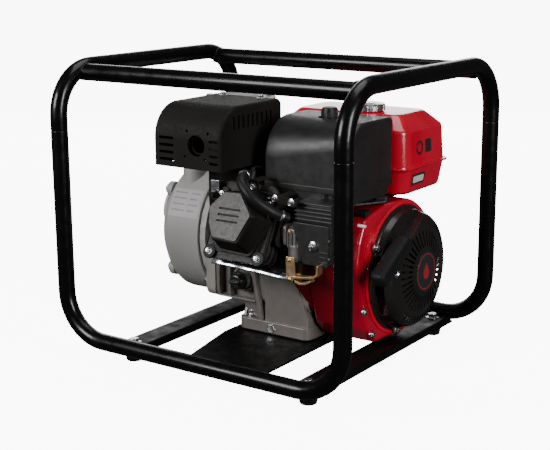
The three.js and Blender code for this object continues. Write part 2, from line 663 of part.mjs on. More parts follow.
// ---------------------------------------------------------------- fuel tank
function buildTank() {
  const { left, right, front, back, low, seam, top } = tank;
  const ring = (inset, radius) =>
    roundedRect(left + inset, right - inset, front + inset, back - inset, radius, 3);
  const body = loft([
    { points: ring(14, 14), z: low },
    { points: ring(7, 20), z: low + 8 },
    { points: ring(4, 20), z: seam + 3 },
    { points: ring(7, 20), z: top - 22 },
    { points: ring(30, 14), z: top },
  ]);
  const inside = loft([
    { points: ring(17, 14), z: low + 3 },
    { points: ring(10, 20), z: low + 10 },
    { points: ring(7, 20), z: seam + 3 },
    { points: ring(10, 20), z: top - 23 },
    { points: ring(33, 14), z: top - 3 },
  ]);
  const flange = prism('z', ring(0, 22), seam - 2, seam + 2);
  const neck = bar('z', top - 2, top + 3, 22, [filler.x, filler.y], 24);
  const mouth = bar('z', top - 20, top + 5, 19, [filler.x, filler.y], 20);
  place(pump, 'fuel_tank', cut(join(body, flange, neck), inside, mouth), redPaint);
  const capProfile = [[top - 6, 0], [top - 6, 17], [top + 3 + GAP, 17], [top + 3 + GAP, 25], [top + 13, 25],
    [top + 16, 22], [top + 16, 0]];
  place(pump, 'fuel_cap', turned('z', capProfile, [filler.x, filler.y], 24), chrome);
}

// ---------------------------------------------------------------- pump end
function buildPump() {
  const { y, z, radius, left, right, wall } = drum;
  const shellProfile = [[left, 0], [left, radius - 10], [left + 3, radius - 3], [left + 10, radius],
    [right, radius], [right, 0]];
  const insideProfile = [[left + wall, 0], [left + wall, radius - 14], [left + 12, radius - wall],
    [right + 1, radius - wall], [right + 1, 0]];
  const flangeLow = outlet.top - 14;
  const shell = join(
    turned('x', shellProfile, [y, z], 32),
    bar('z', z + 50, flangeLow + 1, outlet.outer, [outlet.x, outlet.y], 24),
    bar('z', flangeLow - 10, flangeLow, outlet.outer + 8, [outlet.x, outlet.y], 24),
    bar('z', z + 80, 276, 17, [-176, 16], 16),
  );
  const casing = cut(shell,
    turned('x', insideProfile, [y, z], 32),
    bar('x', right, right + 20, radius - 4 + GAP, [y, z], 32),
    bar('z', z, flangeLow + 5, outlet.bore, [outlet.x, outlet.y], 24),
    box(-300, 0, -100, 300, flangeLow - GAP, 500),
    bar('x', left - 5, left + 20, inlet.bore, [y, inlet.z], 24),
    bar('z', z, 300, 11, [-176, 16], 16),
    bar('x', left - 5, left + 20, 7, [y, 74], 12));
  place(pump, 'pump_casing', casing, castSilver);

  const capProfile = [[262, 0], [262, 10], [276 + GAP, 10], [276 + GAP, 17], [288, 17], [288, 0]];
  place(pump, 'priming_cap', turned('z', capProfile, [-176, 16], 8), blackPlastic);
  const plugProfile = [[left - 12, 0], [left - 12, 9], [left - GAP, 9], [left - GAP, 6], [left + 8, 6],
    [left + 8, 0]];
  place(pump, 'pump_drain_plug', turned('x', plugProfile, [y, 74], 6), brass);

  const plateRight = caseSpan.left - GAP - 20 - GAP;
  const backPlate = bar('x', right + GAP, plateRight, radius - 4, [y, z], 32);
  const shaftHole = bar('x', right - 5, plateRight + 5, 20, [crank.y, crank.z], 20);
  place(pump, 'pump_back_plate', cut(backPlate, shaftHole), castSilver);
  const seal = washer('x', right + 1, plateRight - 1, 10 + 2 * GAP, 20 - 2 * GAP, [crank.y, crank.z], 20);
  place(pump, 'shaft_seal', seal, rubber);

  const volute = bar('x', -161, -131.5, 66, [crank.y, crank.z], 32);
  const chamber = bar('x', -158.5, -120, 55, [crank.y, crank.z], 32);
  const eye = bar('x', -170, -150, 22, [crank.y, crank.z], 20);
  const discharge = box(-157, -135, crank.y, crank.y + 40, crank.z, crank.z + 80);
  place(pump, 'volute', cut(volute, chamber, eye, discharge), castGrey);

  const vanes = [];
  for (let k = 0; k < 4; k += 1) {
    const vane = prism('x', [[12, -2], [30, 8], [47, 6], [47, 10], [29, 12.5], [12, 3]],
      impeller.left + 1, impeller.right - 3);
    vanes.push(vane.rotateX((k * Math.PI) / 2).translate(0, crank.y, crank.z));
  }
  const hub = bar('x', impeller.left, impeller.right, 15, [crank.y, crank.z], 20);
  const disc = bar('x', impeller.right - 4, impeller.right, impeller.radius, [crank.y, crank.z], 32);
  const hubHole = bar('x', impeller.left - 5, impeller.right + 5, 10 + 2 * GAP, [crank.y, crank.z], 16);
  place(pump, 'impeller', cut(join(hub, disc, ...vanes), hubHole), castGrey);

  const coverRight = left - GAP;
  const ears = [];
  for (const side of [-1, 1]) {
    for (const level of [-1, 1]) {
      const centre = [y + side * 65, z + level * 65];
      ears.push(bar('x', coverRight - 14, coverRight - 3, 13, centre, 16));
    }
  }
  const cover = join(
    bar('x', coverRight - 4, coverRight, 97, [y, z], 32),
    bar('x', coverRight - 10, coverRight - 3, 94, [y, z], 32),
    bar('x', coverRight - 18, coverRight - 9, 60, [y, inlet.z], 32),
    bar('x', inlet.end, coverRight - 10, inlet.outer, [y, inlet.z], 24),
    ...ears,
  );
  const plugRelief = bar('x', coverRight - 30, coverRight + 5, 12, [y, 74], 12);
  const port = bar('x', inlet.end - 5, coverRight + 5, inlet.bore, [y, inlet.z], 24);
  place(pump, 'inlet_cover', cut(cover, port, plugRelief), castSilver);

  const flapTop = inlet.z + inlet.bore + 6;
  const flap = join(bar('x', left + wall + 1, left + wall + 5, inlet.bore + 3, [y, inlet.z], 20),
    box(left + wall + 1, left + wall + 5, y - 12, y + 12, inlet.z, flapTop));
  place(pump, 'check_valve_flap', flap, rubber);

  const flangeTop = outlet.top;
  const outletAxis = [outlet.x, outlet.y];
  const flange = washer('z', flangeLow + GAP, flangeTop, outlet.bore, outlet.flange, outletAxis, 32);
  place(pump, 'outlet_flange', flange, castSilver);
}

// ---------------------------------------------------------------- controls and leads
function buildControls() {
  const leverPivot = { x: 141, y: -22 };
  const bracketTop = 242.5;
  const bracket = join(box(132, 164, 14, 50, 239.6, bracketTop), box(132, 144, -34, 15, 240, bracketTop));
  place(pump, 'control_bracket', bracket, blackSheet);
  const armOutline = [[-8, -7], [8, -7], [36, 42], [30, 52], [22, 46], [-8, 7]];
  const arm = prism('z', armOutline, bracketTop + GAP, bracketTop + 4);
  place(pump, 'throttle_lever', arm.translate(leverPivot.x, leverPivot.y, 0), blackPlastic);

  const levers = { choke: 206, fuel_valve: 180 };
  for (const [name, z] of Object.entries(levers)) {
    const profile = [[150 + GAP, 0], [150 + GAP, 5], [156, 5], [156, 0]];
    const knuckle = turned('x', profile, [-74, z], 12);
    const handle = box(152, 156, -102, -74, z - 4, z + 4);
    place(pump, `${name}_lever`, join(knuckle, handle), blackPlastic);
  }
  const rocker = box(-8, 8, -9, 9, 0, 8);
  const slope = Math.atan2(16, 54);
  const seat = { x: 158, y: -14, z: 229.3 };
  place(pump, 'engine_switch', rocker.rotateX(slope).translate(seat.x, seat.y, seat.z + GAP), blackPlastic);

  const breather = [[14, -104, 288], [24, -128, 282], [46, -134, 263], [68, -117, 242], [81, -95, 230]];
  place(pump, 'breather_hose', hose(breather, 7, 8, 8), rubber);
  const lead = [[-13, -49, 281], [-13, -41, 285], [-6, -31, 278], [0, -25, 256], [14, -22, 242],
    [40, -22, 239], [66, -24, 237], [90, -26, 232]];
  place(pump, 'plug_lead', hose(lead, 3.5, 8, 14), rubber);
}

buildFrame();
buildCrankcase();
buildHead();
buildCrankTrain();
buildFlywheel();
buildShroud();
buildHandle();
buildIntake();
buildExhaust();
buildTank();
buildPump();
buildControls();

export default pump;
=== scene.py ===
"""Portable fire pump: looks, camera and light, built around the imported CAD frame.

Lengths inside the shape helpers are millimetres; piece() turns them into metres.
"""

import json
import math
import random

import bmesh
import bpy
from mathutils import Matrix, Vector

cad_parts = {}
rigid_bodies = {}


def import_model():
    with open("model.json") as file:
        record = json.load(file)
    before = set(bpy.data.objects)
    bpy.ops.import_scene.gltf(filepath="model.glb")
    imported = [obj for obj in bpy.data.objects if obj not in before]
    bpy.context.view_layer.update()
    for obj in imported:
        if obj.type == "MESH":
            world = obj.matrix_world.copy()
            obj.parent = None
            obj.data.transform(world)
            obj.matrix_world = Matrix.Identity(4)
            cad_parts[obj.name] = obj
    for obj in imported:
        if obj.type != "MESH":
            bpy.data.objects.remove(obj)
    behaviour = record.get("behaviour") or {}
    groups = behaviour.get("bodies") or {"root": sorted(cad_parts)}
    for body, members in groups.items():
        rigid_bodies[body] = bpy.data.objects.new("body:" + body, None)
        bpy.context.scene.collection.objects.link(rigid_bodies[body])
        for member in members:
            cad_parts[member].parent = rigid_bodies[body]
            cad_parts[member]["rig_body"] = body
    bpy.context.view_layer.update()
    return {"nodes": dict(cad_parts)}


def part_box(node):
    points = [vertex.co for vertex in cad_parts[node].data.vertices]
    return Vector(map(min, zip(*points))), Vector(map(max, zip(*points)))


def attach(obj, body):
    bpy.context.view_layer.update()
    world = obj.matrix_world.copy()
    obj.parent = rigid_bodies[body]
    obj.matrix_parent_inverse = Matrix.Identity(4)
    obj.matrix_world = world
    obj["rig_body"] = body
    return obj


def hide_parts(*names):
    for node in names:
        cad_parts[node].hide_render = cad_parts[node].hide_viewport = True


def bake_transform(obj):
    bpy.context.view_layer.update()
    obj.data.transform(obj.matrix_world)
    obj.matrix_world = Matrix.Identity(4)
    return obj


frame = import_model()
NODES = frame["nodes"]
MM = 0.001
CLEAR = 0.3


def span(node):
    """A CAD node's lowest and highest corners, to a tenth of a millimetre."""
    return [[round(value / MM, 1) for value in corner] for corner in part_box(node)]


def middle(node):
    """The middle of a CAD node's box, in millimetres."""
    return [(a + b) / 2 for a, b in zip(*span(node))]


# ---------------------------------------------------------------- camera, light and floor
def build_camera():
    azimuth, elevation, roll = (math.radians(a) for a in (35.1, 13.18, -0.36))
    back = Vector((
        math.sin(azimuth) * math.cos(elevation),
        -math.cos(azimuth) * math.cos(elevation),
        math.sin(elevation),
    ))
    level = Vector((math.cos(azimuth), math.sin(azimuth), 0))
    upright = back.cross(level)
    right = level * math.cos(roll) + upright * math.sin(roll)
    up = upright * math.cos(roll) - level * math.sin(roll)
    data = bpy.data.cameras.new("camera")
    data.lens = 77.43
    data.sensor_width = 36
    data.clip_start = 0.05
    data.clip_end = 100
    camera = bpy.data.objects.new("camera", data)
    bpy.context.scene.collection.objects.link(camera)
    distance, aside, above, base = 1.8444, -0.0076, 0.1570, 0.030
    place = back * distance + right * aside + up * above + Vector((0, 0, base))
    turn = Matrix((right, up, back)).transposed().to_4x4()
    camera.matrix_world = Matrix.Translation(place) @ turn
    bpy.context.scene.camera = camera


def softbox(name, place, target, size, watts):
    data = bpy.data.lights.new(name, "AREA")
    data.shape = "RECTANGLE"
    data.size, data.size_y = size
    data.energy = watts
    light = bpy.data.objects.new(name, data)
    bpy.context.scene.collection.objects.link(light)
    light.location = place
    aim = Vector(target) - Vector(place)
    light.rotation_mode = "QUATERNION"
    light.rotation_quaternion = aim.to_track_quat("-Z", "Y")


def build_light():
    centre = (0, 0, 0.22)
    softbox("key", (-1.0, -2.2, 1.25), centre, (1.1, 1.0), 62)
    softbox("top", (0.1, 0.3, 2.1), centre, (1.6, 1.0), 15)
    softbox("fill", (2.1, -0.6, 0.9), centre, (0.6, 1.2), 42)
    softbox("rear", (-1.5, 2.0, 0.95), centre, (2.6, 1.1), 26)
    world = bpy.data.worlds.new("studio")
    world.use_nodes = True
    background = world.node_tree.nodes["Background"]
    background.inputs["Color"].default_value = (0.93, 0.95, 1.0, 1)
    background.inputs["Strength"].default_value = 0.05
    bpy.context.scene.world = world


# ---------------------------------------------------------------- materials
class Shader:
    """A Principled material whose node graph is built a step at a time, in object space."""

    def __init__(self, name, metallic=0.0, coat=0.0, coat_roughness=0.05, sheen=0.0, ior=1.5):
        self.material = bpy.data.materials.new(name)
        self.material.use_nodes = True
        self.nodes = self.material.node_tree.nodes
        self.links = self.material.node_tree.links
        self.shader = self.nodes["Principled BSDF"]
        self.shader.inputs["Metallic"].default_value = metallic
        self.shader.inputs["Coat Weight"].default_value = coat
        self.shader.inputs["Coat Roughness"].default_value = coat_roughness
        self.shader.inputs["Sheen Weight"].default_value = sheen
        self.shader.inputs["IOR"].default_value = ior
        self.place = self.nodes.new("ShaderNodeTexCoord").outputs["Object"]
        self.last_bump = None

    def add(self, kind, **values):
        node = self.nodes.new(kind)
        for key, value in values.items():
            setattr(node, key, value)
        return node

    def noise(self, scale, detail=3.0, stretch=(1, 1, 1), rough=0.5):
        """A noise factor; scale is in cells per metre."""
        mapping = self.add("ShaderNodeMapping")
        mapping.inputs["Scale"].default_value = stretch
        self.links.new(self.place, mapping.inputs["Vector"])
        node = self.add("ShaderNodeTexNoise")
        node.inputs["Scale"].default_value = scale
        node.inputs["Detail"].default_value = detail
        node.inputs["Roughness"].default_value = rough
        self.links.new(mapping.outputs["Vector"], node.inputs["Vector"])
        return node.outputs["Fac"]

    def cells(self, scale):
        node = self.add("ShaderNodeTexVoronoi", feature="F1")
        node.inputs["Scale"].default_value = scale
        self.links.new(self.place, node.inputs["Vector"])
        return node.outputs["Distance"]

    def ramp(self, factor, low, high, at=(0.3, 0.7)):
        """Spreads a factor between two numbers."""
        node = self.add("ShaderNodeMapRange")
        node.inputs["From Min"].default_value = at[0]
        node.inputs["From Max"].default_value = at[1]
        node.inputs["To Min"].default_value = low
        node.inputs["To Max"].default_value = high
        self.links.new(factor, node.inputs["Value"])
        return node.outputs["Result"]

    def mix(self, factor, first, second):
        """A colour mix; first and second are colours or outputs."""
        node = self.add("ShaderNodeMix", data_type="RGBA")
        for slot, value in ((6, first), (7, second)):
            if isinstance(value, (tuple, list)):
                node.inputs[slot].default_value = (*value, 1)
            else:
                self.links.new(value, node.inputs[slot])
        self.links.new(factor, node.inputs[0])
        return node.outputs[2]

    def edges(self, width):
        """Near 1 on outer edges and 0 on flats, from the angle that a small bevel turns."""
        bevel = self.add("ShaderNodeBevel", samples=4)
        bevel.inputs["Radius"].default_value = width
        normal = self.add("ShaderNodeNewGeometry").outputs["Normal"]
        dot = self.add("ShaderNodeVectorMath", operation="DOT_PRODUCT")
        self.links.new(bevel.outputs["Normal"], dot.inputs[0])
        self.links.new(normal, dot.inputs[1])
        return self.ramp(dot.outputs["Value"], 1.0, 0.0, at=(0.8, 0.99))

    def product(self, first, second):
        node = self.add("ShaderNodeMath", operation="MULTIPLY")
        self.links.new(first, node.inputs[0])
        self.links.new(second, node.inputs[1])
        return node.outputs["Value"]

    def color(self, output):
        self.links.new(output, self.shader.inputs["Base Color"])

    def roughness(self, output):
        self.links.new(output, self.shader.inputs["Roughness"])

    def bump(self, height, depth):
        """Adds a bump on top of any earlier one; depth is in metres."""
        node = self.add("ShaderNodeBump")
        node.inputs["Distance"].default_value = depth
        node.inputs["Strength"].default_value = 1.0
        self.links.new(height, node.inputs["Height"])
        if self.last_bump:
            self.links.new(self.last_bump, node.inputs["Normal"])
        self.links.new(node.outputs["Normal"], self.shader.inputs["Normal"])
        self.last_bump = node.outputs["Normal"]


def shade(color, factor):
    return tuple(min(1.0, c * factor) for c in color)


def gloss_paint(name, color, roughness, peel, dust=0.25, coat=0.6, ior=1.5, painted_shade_span=None):
    """Stoved paint: orange peel and a little dust. An optional span between two stations on X darkens the
    paint towards low X: painted shade standing in for the shadow that the crankcase and elbow cast.
    """
    made = Shader(name, coat=coat, coat_roughness=0.06, ior=ior)
    cloud = made.noise(14, 4)
    base = made.mix(made.ramp(cloud, 0, 1), shade(color, 0.88), shade(color, 1.12))
    specks = made.ramp(made.noise(900, 2), 0, dust, at=(0.66, 0.8))
    dust_and_shade = made.mix(specks, base, tuple(0.35 * c + 0.10 for c in color))
    # Painted shade: towards low X the colour darkens to about a sixth, for the shadow of the crankcase and
    # elbow.
    if painted_shade_span:
        across = made.add("ShaderNodeSeparateXYZ")
        made.links.new(made.place, across.inputs["Vector"])
        painted_shade = made.ramp(across.outputs["X"], 1.0, 0.0, at=painted_shade_span)
        dust_and_shade = made.mix(painted_shade, dust_and_shade, shade(color, 0.16))
    made.color(dust_and_shade)
    made.roughness(made.ramp(made.noise(60, 3), roughness * 0.8, roughness * 1.35))
    made.bump(made.noise(420, 1), peel)
    return made.material


def moulded(name, color, roughness, grain=0.00003, coat=0.0, ior=1.5):
    """Moulded plastic: a fine grained skin and slightly uneven gloss."""
    made = Shader(name, coat=coat, coat_roughness=0.12, ior=ior)
    cloud = made.noise(30, 3)
    base = made.mix(made.ramp(cloud, 0, 1), shade(color, 0.8), shade(color, 1.25))
    scuffs = made.ramp(made.noise(180, 4, stretch=(1, 1, 6)), 0, 0.35, at=(0.62, 0.75))
    made.color(made.mix(scuffs, base, tuple(c + 0.02 for c in color)))
    made.roughness(made.ramp(made.noise(90, 4), roughness * 0.85, roughness * 1.2))
    made.bump(made.cells(2200), grain)
    return made.material


def casting(name, color, metallic, roughness, grain, stain=0.35, wear=0.75, ior=1.5):
    """Sand or die casting: grainy skin, faint staining, and brighter rubbed edges."""
    made = Shader(name, metallic=metallic, ior=ior)
    cloud = made.noise(22, 5, rough=0.65)
    base = made.mix(made.ramp(cloud, 0, 1), shade(color, 1 - stain * 0.6), shade(color, 1 + stain * 0.4))
    pits = made.ramp(made.noise(1300, 3), 0, 0.5, at=(0.6, 0.75))
    pitted = made.mix(pits, base, shade(color, 0.55))
    rubbed = made.product(made.edges(0.0009), made.ramp(made.noise(140, 3), 0.0, wear))
    made.color(made.mix(rubbed, pitted, tuple(0.5 * c + 0.32 for c in color)))
    made.roughness(made.ramp(made.noise(220, 4), roughness * 0.82, roughness * 1.2))
    made.bump(made.noise(900, 4, rough=0.7), grain)
    return made.material


def machined(name, color, roughness, stretch=(1, 1, 1), grain=0.00001):
    """Turned or rolled metal: fine lines along one direction and soft clouding."""
    made = Shader(name, metallic=1.0)
    lines = made.noise(1600, 2, stretch=stretch)
    base = made.mix(made.ramp(made.noise(60, 4), 0, 1), shade(color, 0.85), shade(color, 1.08))
    made.color(made.mix(made.ramp(lines, 0, 0.16), base, shade(color, 0.8)))
    made.roughness(made.ramp(made.noise(150, 3, stretch=stretch), roughness * 0.85, roughness * 1.2))
    made.bump(lines, grain)
    return made.material


def rubbery(name, color, roughness):
    """Rubber: matt, with a grey bloom in patches."""
    made = Shader(name, sheen=0.01, ior=1.35)
    base = made.mix(made.ramp(made.noise(70, 4), 0, 1), shade(color, 0.8), shade(color, 1.3))
    bloom = made.ramp(made.noise(260, 5), 0, 0.3, at=(0.58, 0.8))
    made.color(made.mix(bloom, base, tuple(c + 0.012 for c in color)))
    made.roughness(made.ramp(made.noise(160, 3), roughness * 0.85, roughness * 1.15))
    made.bump(made.noise(1500, 3), 0.00004)
    return made.material


def braided(name):
    """Twisted starter rope: black strands with a pale fleck."""
    made = Shader(name, sheen=0.3)
    wave = made.add("ShaderNodeTexWave", wave_type="BANDS", bands_direction="DIAGONAL")
    wave.inputs["Scale"].default_value = 420
    wave.inputs["Distortion"].default_value = 1.5
    made.links.new(made.place, wave.inputs["Vector"])
    made.color(made.mix(made.ramp(wave.outputs["Fac"], 0, 1), (0.01, 0.01, 0.01), (0.05, 0.05, 0.05)))
    made.roughness(made.ramp(made.noise(800, 2), 0.7, 0.9))
    made.bump(wave.outputs["Fac"], 0.0003)
    return made.material


def open_foam(name):
    """Open-celled filter foam."""
    made = Shader(name, sheen=0.2)
    holes = made.cells(900)
    made.color(made.mix(made.ramp(holes, 0, 1, at=(0.1, 0.6)), (0.012, 0.012, 0.011), (0.07, 0.068, 0.06)))
    made.roughness(made.ramp(holes, 0.8, 0.98))
    made.bump(holes, 0.0008)
    return made.material


def printed_film(name, color):
    """A blank printed film: smooth, with the faintest clouding."""
    roughness = 0.3
    made = Shader(name, coat=0.3, coat_roughness=0.1)
    made.color(made.mix(made.ramp(made.noise(40, 3), 0, 1), shade(color, 0.94), shade(color, 1.02)))
    made.roughness(made.ramp(made.noise(120, 2), roughness * 0.8, roughness * 1.2))
    made.bump(made.noise(500, 2), 0.00001)
    return made.material


def floor_material():
    made = Shader("studio_floor")
    made.color(made.mix(made.ramp(made.noise(3, 2), 0, 1), (0.86, 0.86, 0.86), (0.9, 0.9, 0.9)))
    made.roughness(made.ramp(made.noise(40, 2), 0.7, 0.8))
    made.shader.inputs["Emission Color"].default_value = (1, 1, 1, 1)
    made.shader.inputs["Emission Strength"].default_value = 9.0
    return made.material


MATERIALS = {
    "frame_paint": gloss_paint("black_frame_paint", (0.002, 0.002, 0.002), 0.24, 0.00003, dust=0.06,
                               coat=0.15, ior=1.32),
    "deck_paint": gloss_paint("black_deck_paint", (0.003, 0.003, 0.003), 0.45, 0.00004, dust=0.1,
                              coat=0.0, ior=1.2),
    "red_paint": gloss_paint("red_gloss_paint", (0.55, 0.004, 0.024), 0.18, 0.00002, dust=0.06),
    # The shroud's red is a darker copy of the tank's red paint and darkens further towards low X: both are
    # painted shade, for the shadow over the shroud's left end.
    "shroud_red_painted_shade": gloss_paint("red_shroud_painted_shade", (0.44, 0.004, 0.021), 0.2, 0.00002, dust=0.06,
                              painted_shade_span=(0.078, 0.172)),
    "black_sheet": casting("heatproof_black", (0.013, 0.0115, 0.0105), 0.0, 0.6, 0.00003, stain=0.3,
                           wear=0.05, ior=1.2),
    "black_plastic": moulded("satin_black_plastic", (0.013, 0.0125, 0.012), 0.4),
    "gloss_plastic": moulded("gloss_black_plastic", (0.0115, 0.0103, 0.0092), 0.28, grain=0.000004,
                             coat=0.12),
    "grip_plastic": moulded("grip_plastic", (0.009, 0.009, 0.01), 0.5, grain=0.00006, ior=1.25),
    "cast_grey": casting("cast_grey", (0.18, 0.162, 0.150), 0.35, 0.4, 0.00005),
    "bare_cast": casting("bare_cast", (0.40, 0.38, 0.35), 0.4, 0.42, 0.00005, stain=0.2),
    "cast_silver": casting("silver_coat", (0.45, 0.44, 0.42), 0.08, 0.5, 0.00002, stain=0.1),
    "raw_casting": casting("raw_casting", (0.25, 0.245, 0.235), 0.7, 0.42, 0.00006, stain=0.25),
    "dark_cast": casting("dark_cast_paint", (0.028, 0.025, 0.023), 0.1, 0.5, 0.00006, wear=0.25, ior=1.35),
    "cover_black": casting("cover_gloss_black", (0.013, 0.0115, 0.0105), 0.0, 0.4, 0.00001, stain=0.2,
                           wear=0.05, ior=1.2),
    "face_cast": casting("rocker_cover_face", (0.030, 0.0255, 0.0235), 0.2, 0.42, 0.00001, stain=0.12,
                         wear=0.3),
    "steel": machined("machined_steel", (0.52, 0.52, 0.53), 0.3),
    "zinc": machined("zinc_plate", (0.62, 0.63, 0.65), 0.26, grain=0.000003),
    "brass": machined("yellow_brass", (0.80, 0.56, 0.30), 0.36, grain=0.000003),
    "bright_sheet": machined("bright_sheet", (0.72, 0.76, 0.80), 0.16, grain=0.000002),
    # A very dark copy of the brass for the float bowl: painted shade for the shadow the bowl sits in under
    # the carburettor.
    "brass_painted_shade": machined("brass_painted_shade", (0.085, 0.06, 0.032), 0.34, grain=0.000004),
    "chrome": machined("polished_chrome", (0.86, 0.86, 0.88), 0.24, grain=0.000002),
    "iron": casting("iron_casting", (0.13, 0.125, 0.12), 0.7, 0.6, 0.00015),
    "rubber": rubbery("black_rubber", (0.006, 0.006, 0.006), 0.5),
    "rope": braided("starter_rope"),
    "foam": open_foam("filter_foam"),
    "dark_steel": casting("heat_stained_steel", (0.12, 0.11, 0.10), 0.8, 0.45, 0.00003),
    "label": printed_film("blank_label", (0.60, 0.57, 0.57)),
    "grey_print": printed_film("grey_print", (0.38, 0.37, 0.38)),
    "dark_label": printed_film("dark_label", (0.02, 0.02, 0.022)),
    "red_print": printed_film("red_print", (0.30, 0.018, 0.022)),
}


# ---------------------------------------------------------------- solids, in millimetres
# For each axis: the two directions across it, then the axis itself.
BASIS = {
    "x": (Vector((0, 1, 0)), Vector((0, 0, 1)), Vector((1, 0, 0))),
    "y": (Vector((0, 0, 1)), Vector((1, 0, 0)), Vector((0, 1, 0))),
    "z": (Vector((1, 0, 0)), Vector((0, 1, 0)), Vector((0, 0, 1))),
}


def turned(axis, profile, centre=(0, 0), sides=64):
    """A lathe solid. The profile is [distance along the axis, radius]; it starts and ends on the
    axis, or else closes on itself."""
    u, v, w = BASIS[axis]
    origin = u * centre[0] + v * centre[1]
    if axis == "y":
        origin = u * centre[1] + v * centre[0]
    made = bmesh.new()
    rings = []
    for t, radius in profile:
        if radius < 1e-6:
            rings.append([made.verts.new(origin + w * t)])
            continue
        ring = []
        for k in range(sides):
            angle = 2 * math.pi * k / sides
            spoke = u * math.cos(angle) + v * math.sin(angle)
            ring.append(made.verts.new(origin + w * t + spoke * radius))
        rings.append(ring)
    pairs = list(zip(rings, rings[1:]))
    if profile[0][1] > 1e-6 and profile[-1][1] > 1e-6:
        pairs.append((rings[-1], rings[0]))
    for low, high in pairs:
        if len(low) == 1 and len(high) == 1:
            continue
        for k in range(sides):
            after = (k + 1) % sides
            if len(low) == 1:
                made.faces.new((low[0], high[after], high[k]))
            elif len(high) == 1:
                made.faces.new((low[k], low[after], high[0]))
            else:
                made.faces.new((low[k], low[after], high[after], high[k]))
    bmesh.ops.recalc_face_normals(made, faces=made.faces)
    return made


def rod(axis, low, high, radius, centre=(0, 0), sides=48, edge=0.0):
    """A round bar, with its two rims eased by edge."""
    if edge <= 0:
        return turned(axis, [(low, 0), (low, radius), (high, radius), (high, 0)], centre, sides)
    ease = edge * 0.3
    profile = [(low, 0), (low, radius - edge), (low + ease, radius - ease), (low + edge, radius)]
    profile += [(high - edge, radius), (high - ease, radius - ease), (high, radius - edge), (high, 0)]
    return turned(axis, profile, centre, sides)


def ring(axis, low, high, inner, outer, centre=(0, 0), sides=48, edge=0.3):
    profile = [(low, inner), (low, outer - edge), (low + edge, outer)]
    profile += [(high - edge, outer), (high, outer - edge), (high, inner)]
    return turned(axis, profile, centre, sides)


def prism(axis, outline, low, high):
    """An outline across the axis, pushed along it."""
    return loft([(outline, low), (outline, high)], axis)


def loft(sections, axis="z"):
    """A solid through outlines with the same number of points, each (points, height)."""
    u, v, w = BASIS[axis]
    made = bmesh.new()
    rings = [[made.verts.new(u * a + v * b + w * t) for a, b in points] for points, t in sections]
    count = len(rings[0])
    made.faces.new(rings[0][::-1])
    made.faces.new(rings[-1])
    for low, high in zip(rings, rings[1:]):
        for k in range(count):
            after = (k + 1) % count
            made.faces.new((low[k], low[after], high[after], high[k]))
    bmesh.ops.recalc_face_normals(made, faces=made.faces)
    return made


def rounded(corners, steps=6):
    """A closed outline whose corners, each (x, y, radius), are arcs."""
    points = []
    count = len(corners)
    for k, (x, y, radius) in enumerate(corners):
        corner = Vector((x, y))
        before = Vector(corners[k - 1][:2]) - corner
        after = Vector(corners[(k + 1) % count][:2]) - corner
        if radius <= 0:
            points.append((x, y))
            continue
        before.normalize()
        after.normalize()
        half = before.angle(after) / 2
        inset = radius / math.tan(half)
        centre = corner + (before + after).normalized() * (radius / math.sin(half))
        start = corner + before * inset - centre
        end = corner + after * inset - centre
        sweep = math.atan2(start.x * end.y - start.y * end.x, start.dot(end))
        for i in range(steps + 1):
            turn = sweep * i / steps
            c, s = math.cos(turn), math.sin(turn)
            points.append((centre.x + start.x * c - start.y * s, centre.y + start.x * s + start.y * c))
    return points


def rectangle(x0, x1, y0, y1, radius, steps=6):
    return rounded([(x0, y0, radius), (x1, y0, radius), (x1, y1, radius), (x0, y1, radius)], steps)


def block(x0, x1, y0, y1, z0, z1):
    return prism("z", [(x0, y0), (x1, y0), (x1, y1), (x0, y1)], z0, z1)


def scaled(points, factor, centre):
    return [(centre[0] + (x - centre[0]) * factor, centre[1] + (y - centre[1]) * factor) for x, y in points]


def tube(points, radius, sides=24):
    """A round bar along points, with flat ends."""
    path = [Vector(p) for p in points]
    made = bmesh.new()
    normal = None
    rings = []
    for k, here in enumerate(path):
        along = (path[min(k + 1, len(path) - 1)] - path[max(k - 1, 0)]).normalized()
        if normal is None:
            normal = along.orthogonal().normalized()
        else:
            normal = (normal - along * normal.dot(along)).normalized()
        side = along.cross(normal)
        spokes = []
        for i in range(sides):
            angle = 2 * math.pi * i / sides
            spokes.append(normal * math.cos(angle) + side * math.sin(angle))
        rings.append([made.verts.new(here + spoke * radius) for spoke in spokes])
    for low, high in zip(rings, rings[1:]):
        for i in range(sides):
            j = (i + 1) % sides
            made.faces.new((low[i], low[j], high[j], high[i]))
    made.faces.new(rings[0])
    made.faces.new(rings[-1])
    bmesh.ops.recalc_face_normals(made, faces=made.faces)
    return made


def bent_path(corners, bend, steps=10, straight=6):
    """Points along a polyline whose inner corners are arcs of one radius."""
    stops = [Vector(c) for c in corners]
    path = [stops[0]]
    for k in range(1, len(stops) - 1):
        before = (stops[k - 1] - stops[k]).normalized()
        after = (stops[k + 1] - stops[k]).normalized()
        half = before.angle(after) / 2
        inset = bend / math.tan(half)
        centre = stops[k] + (before + after).normalized() * (bend / math.sin(half))
        start, end = stops[k] + before * inset, stops[k] + after * inset
        previous = path[-1]
        for i in range(1, straight):
            path.append(previous.lerp(start, i / straight))
        total = (start - centre).angle(end - centre)
        for i in range(steps + 1):
            t = i / steps
            a = math.sin((1 - t) * total) / math.sin(total)
            b = math.sin(t * total) / math.sin(total)
            path.append(centre + (start - centre) * a + (end - centre) * b)
    previous = path[-1]
    for i in range(1, straight + 1):
        path.append(previous.lerp(stops[-1], i / straight))
    return path


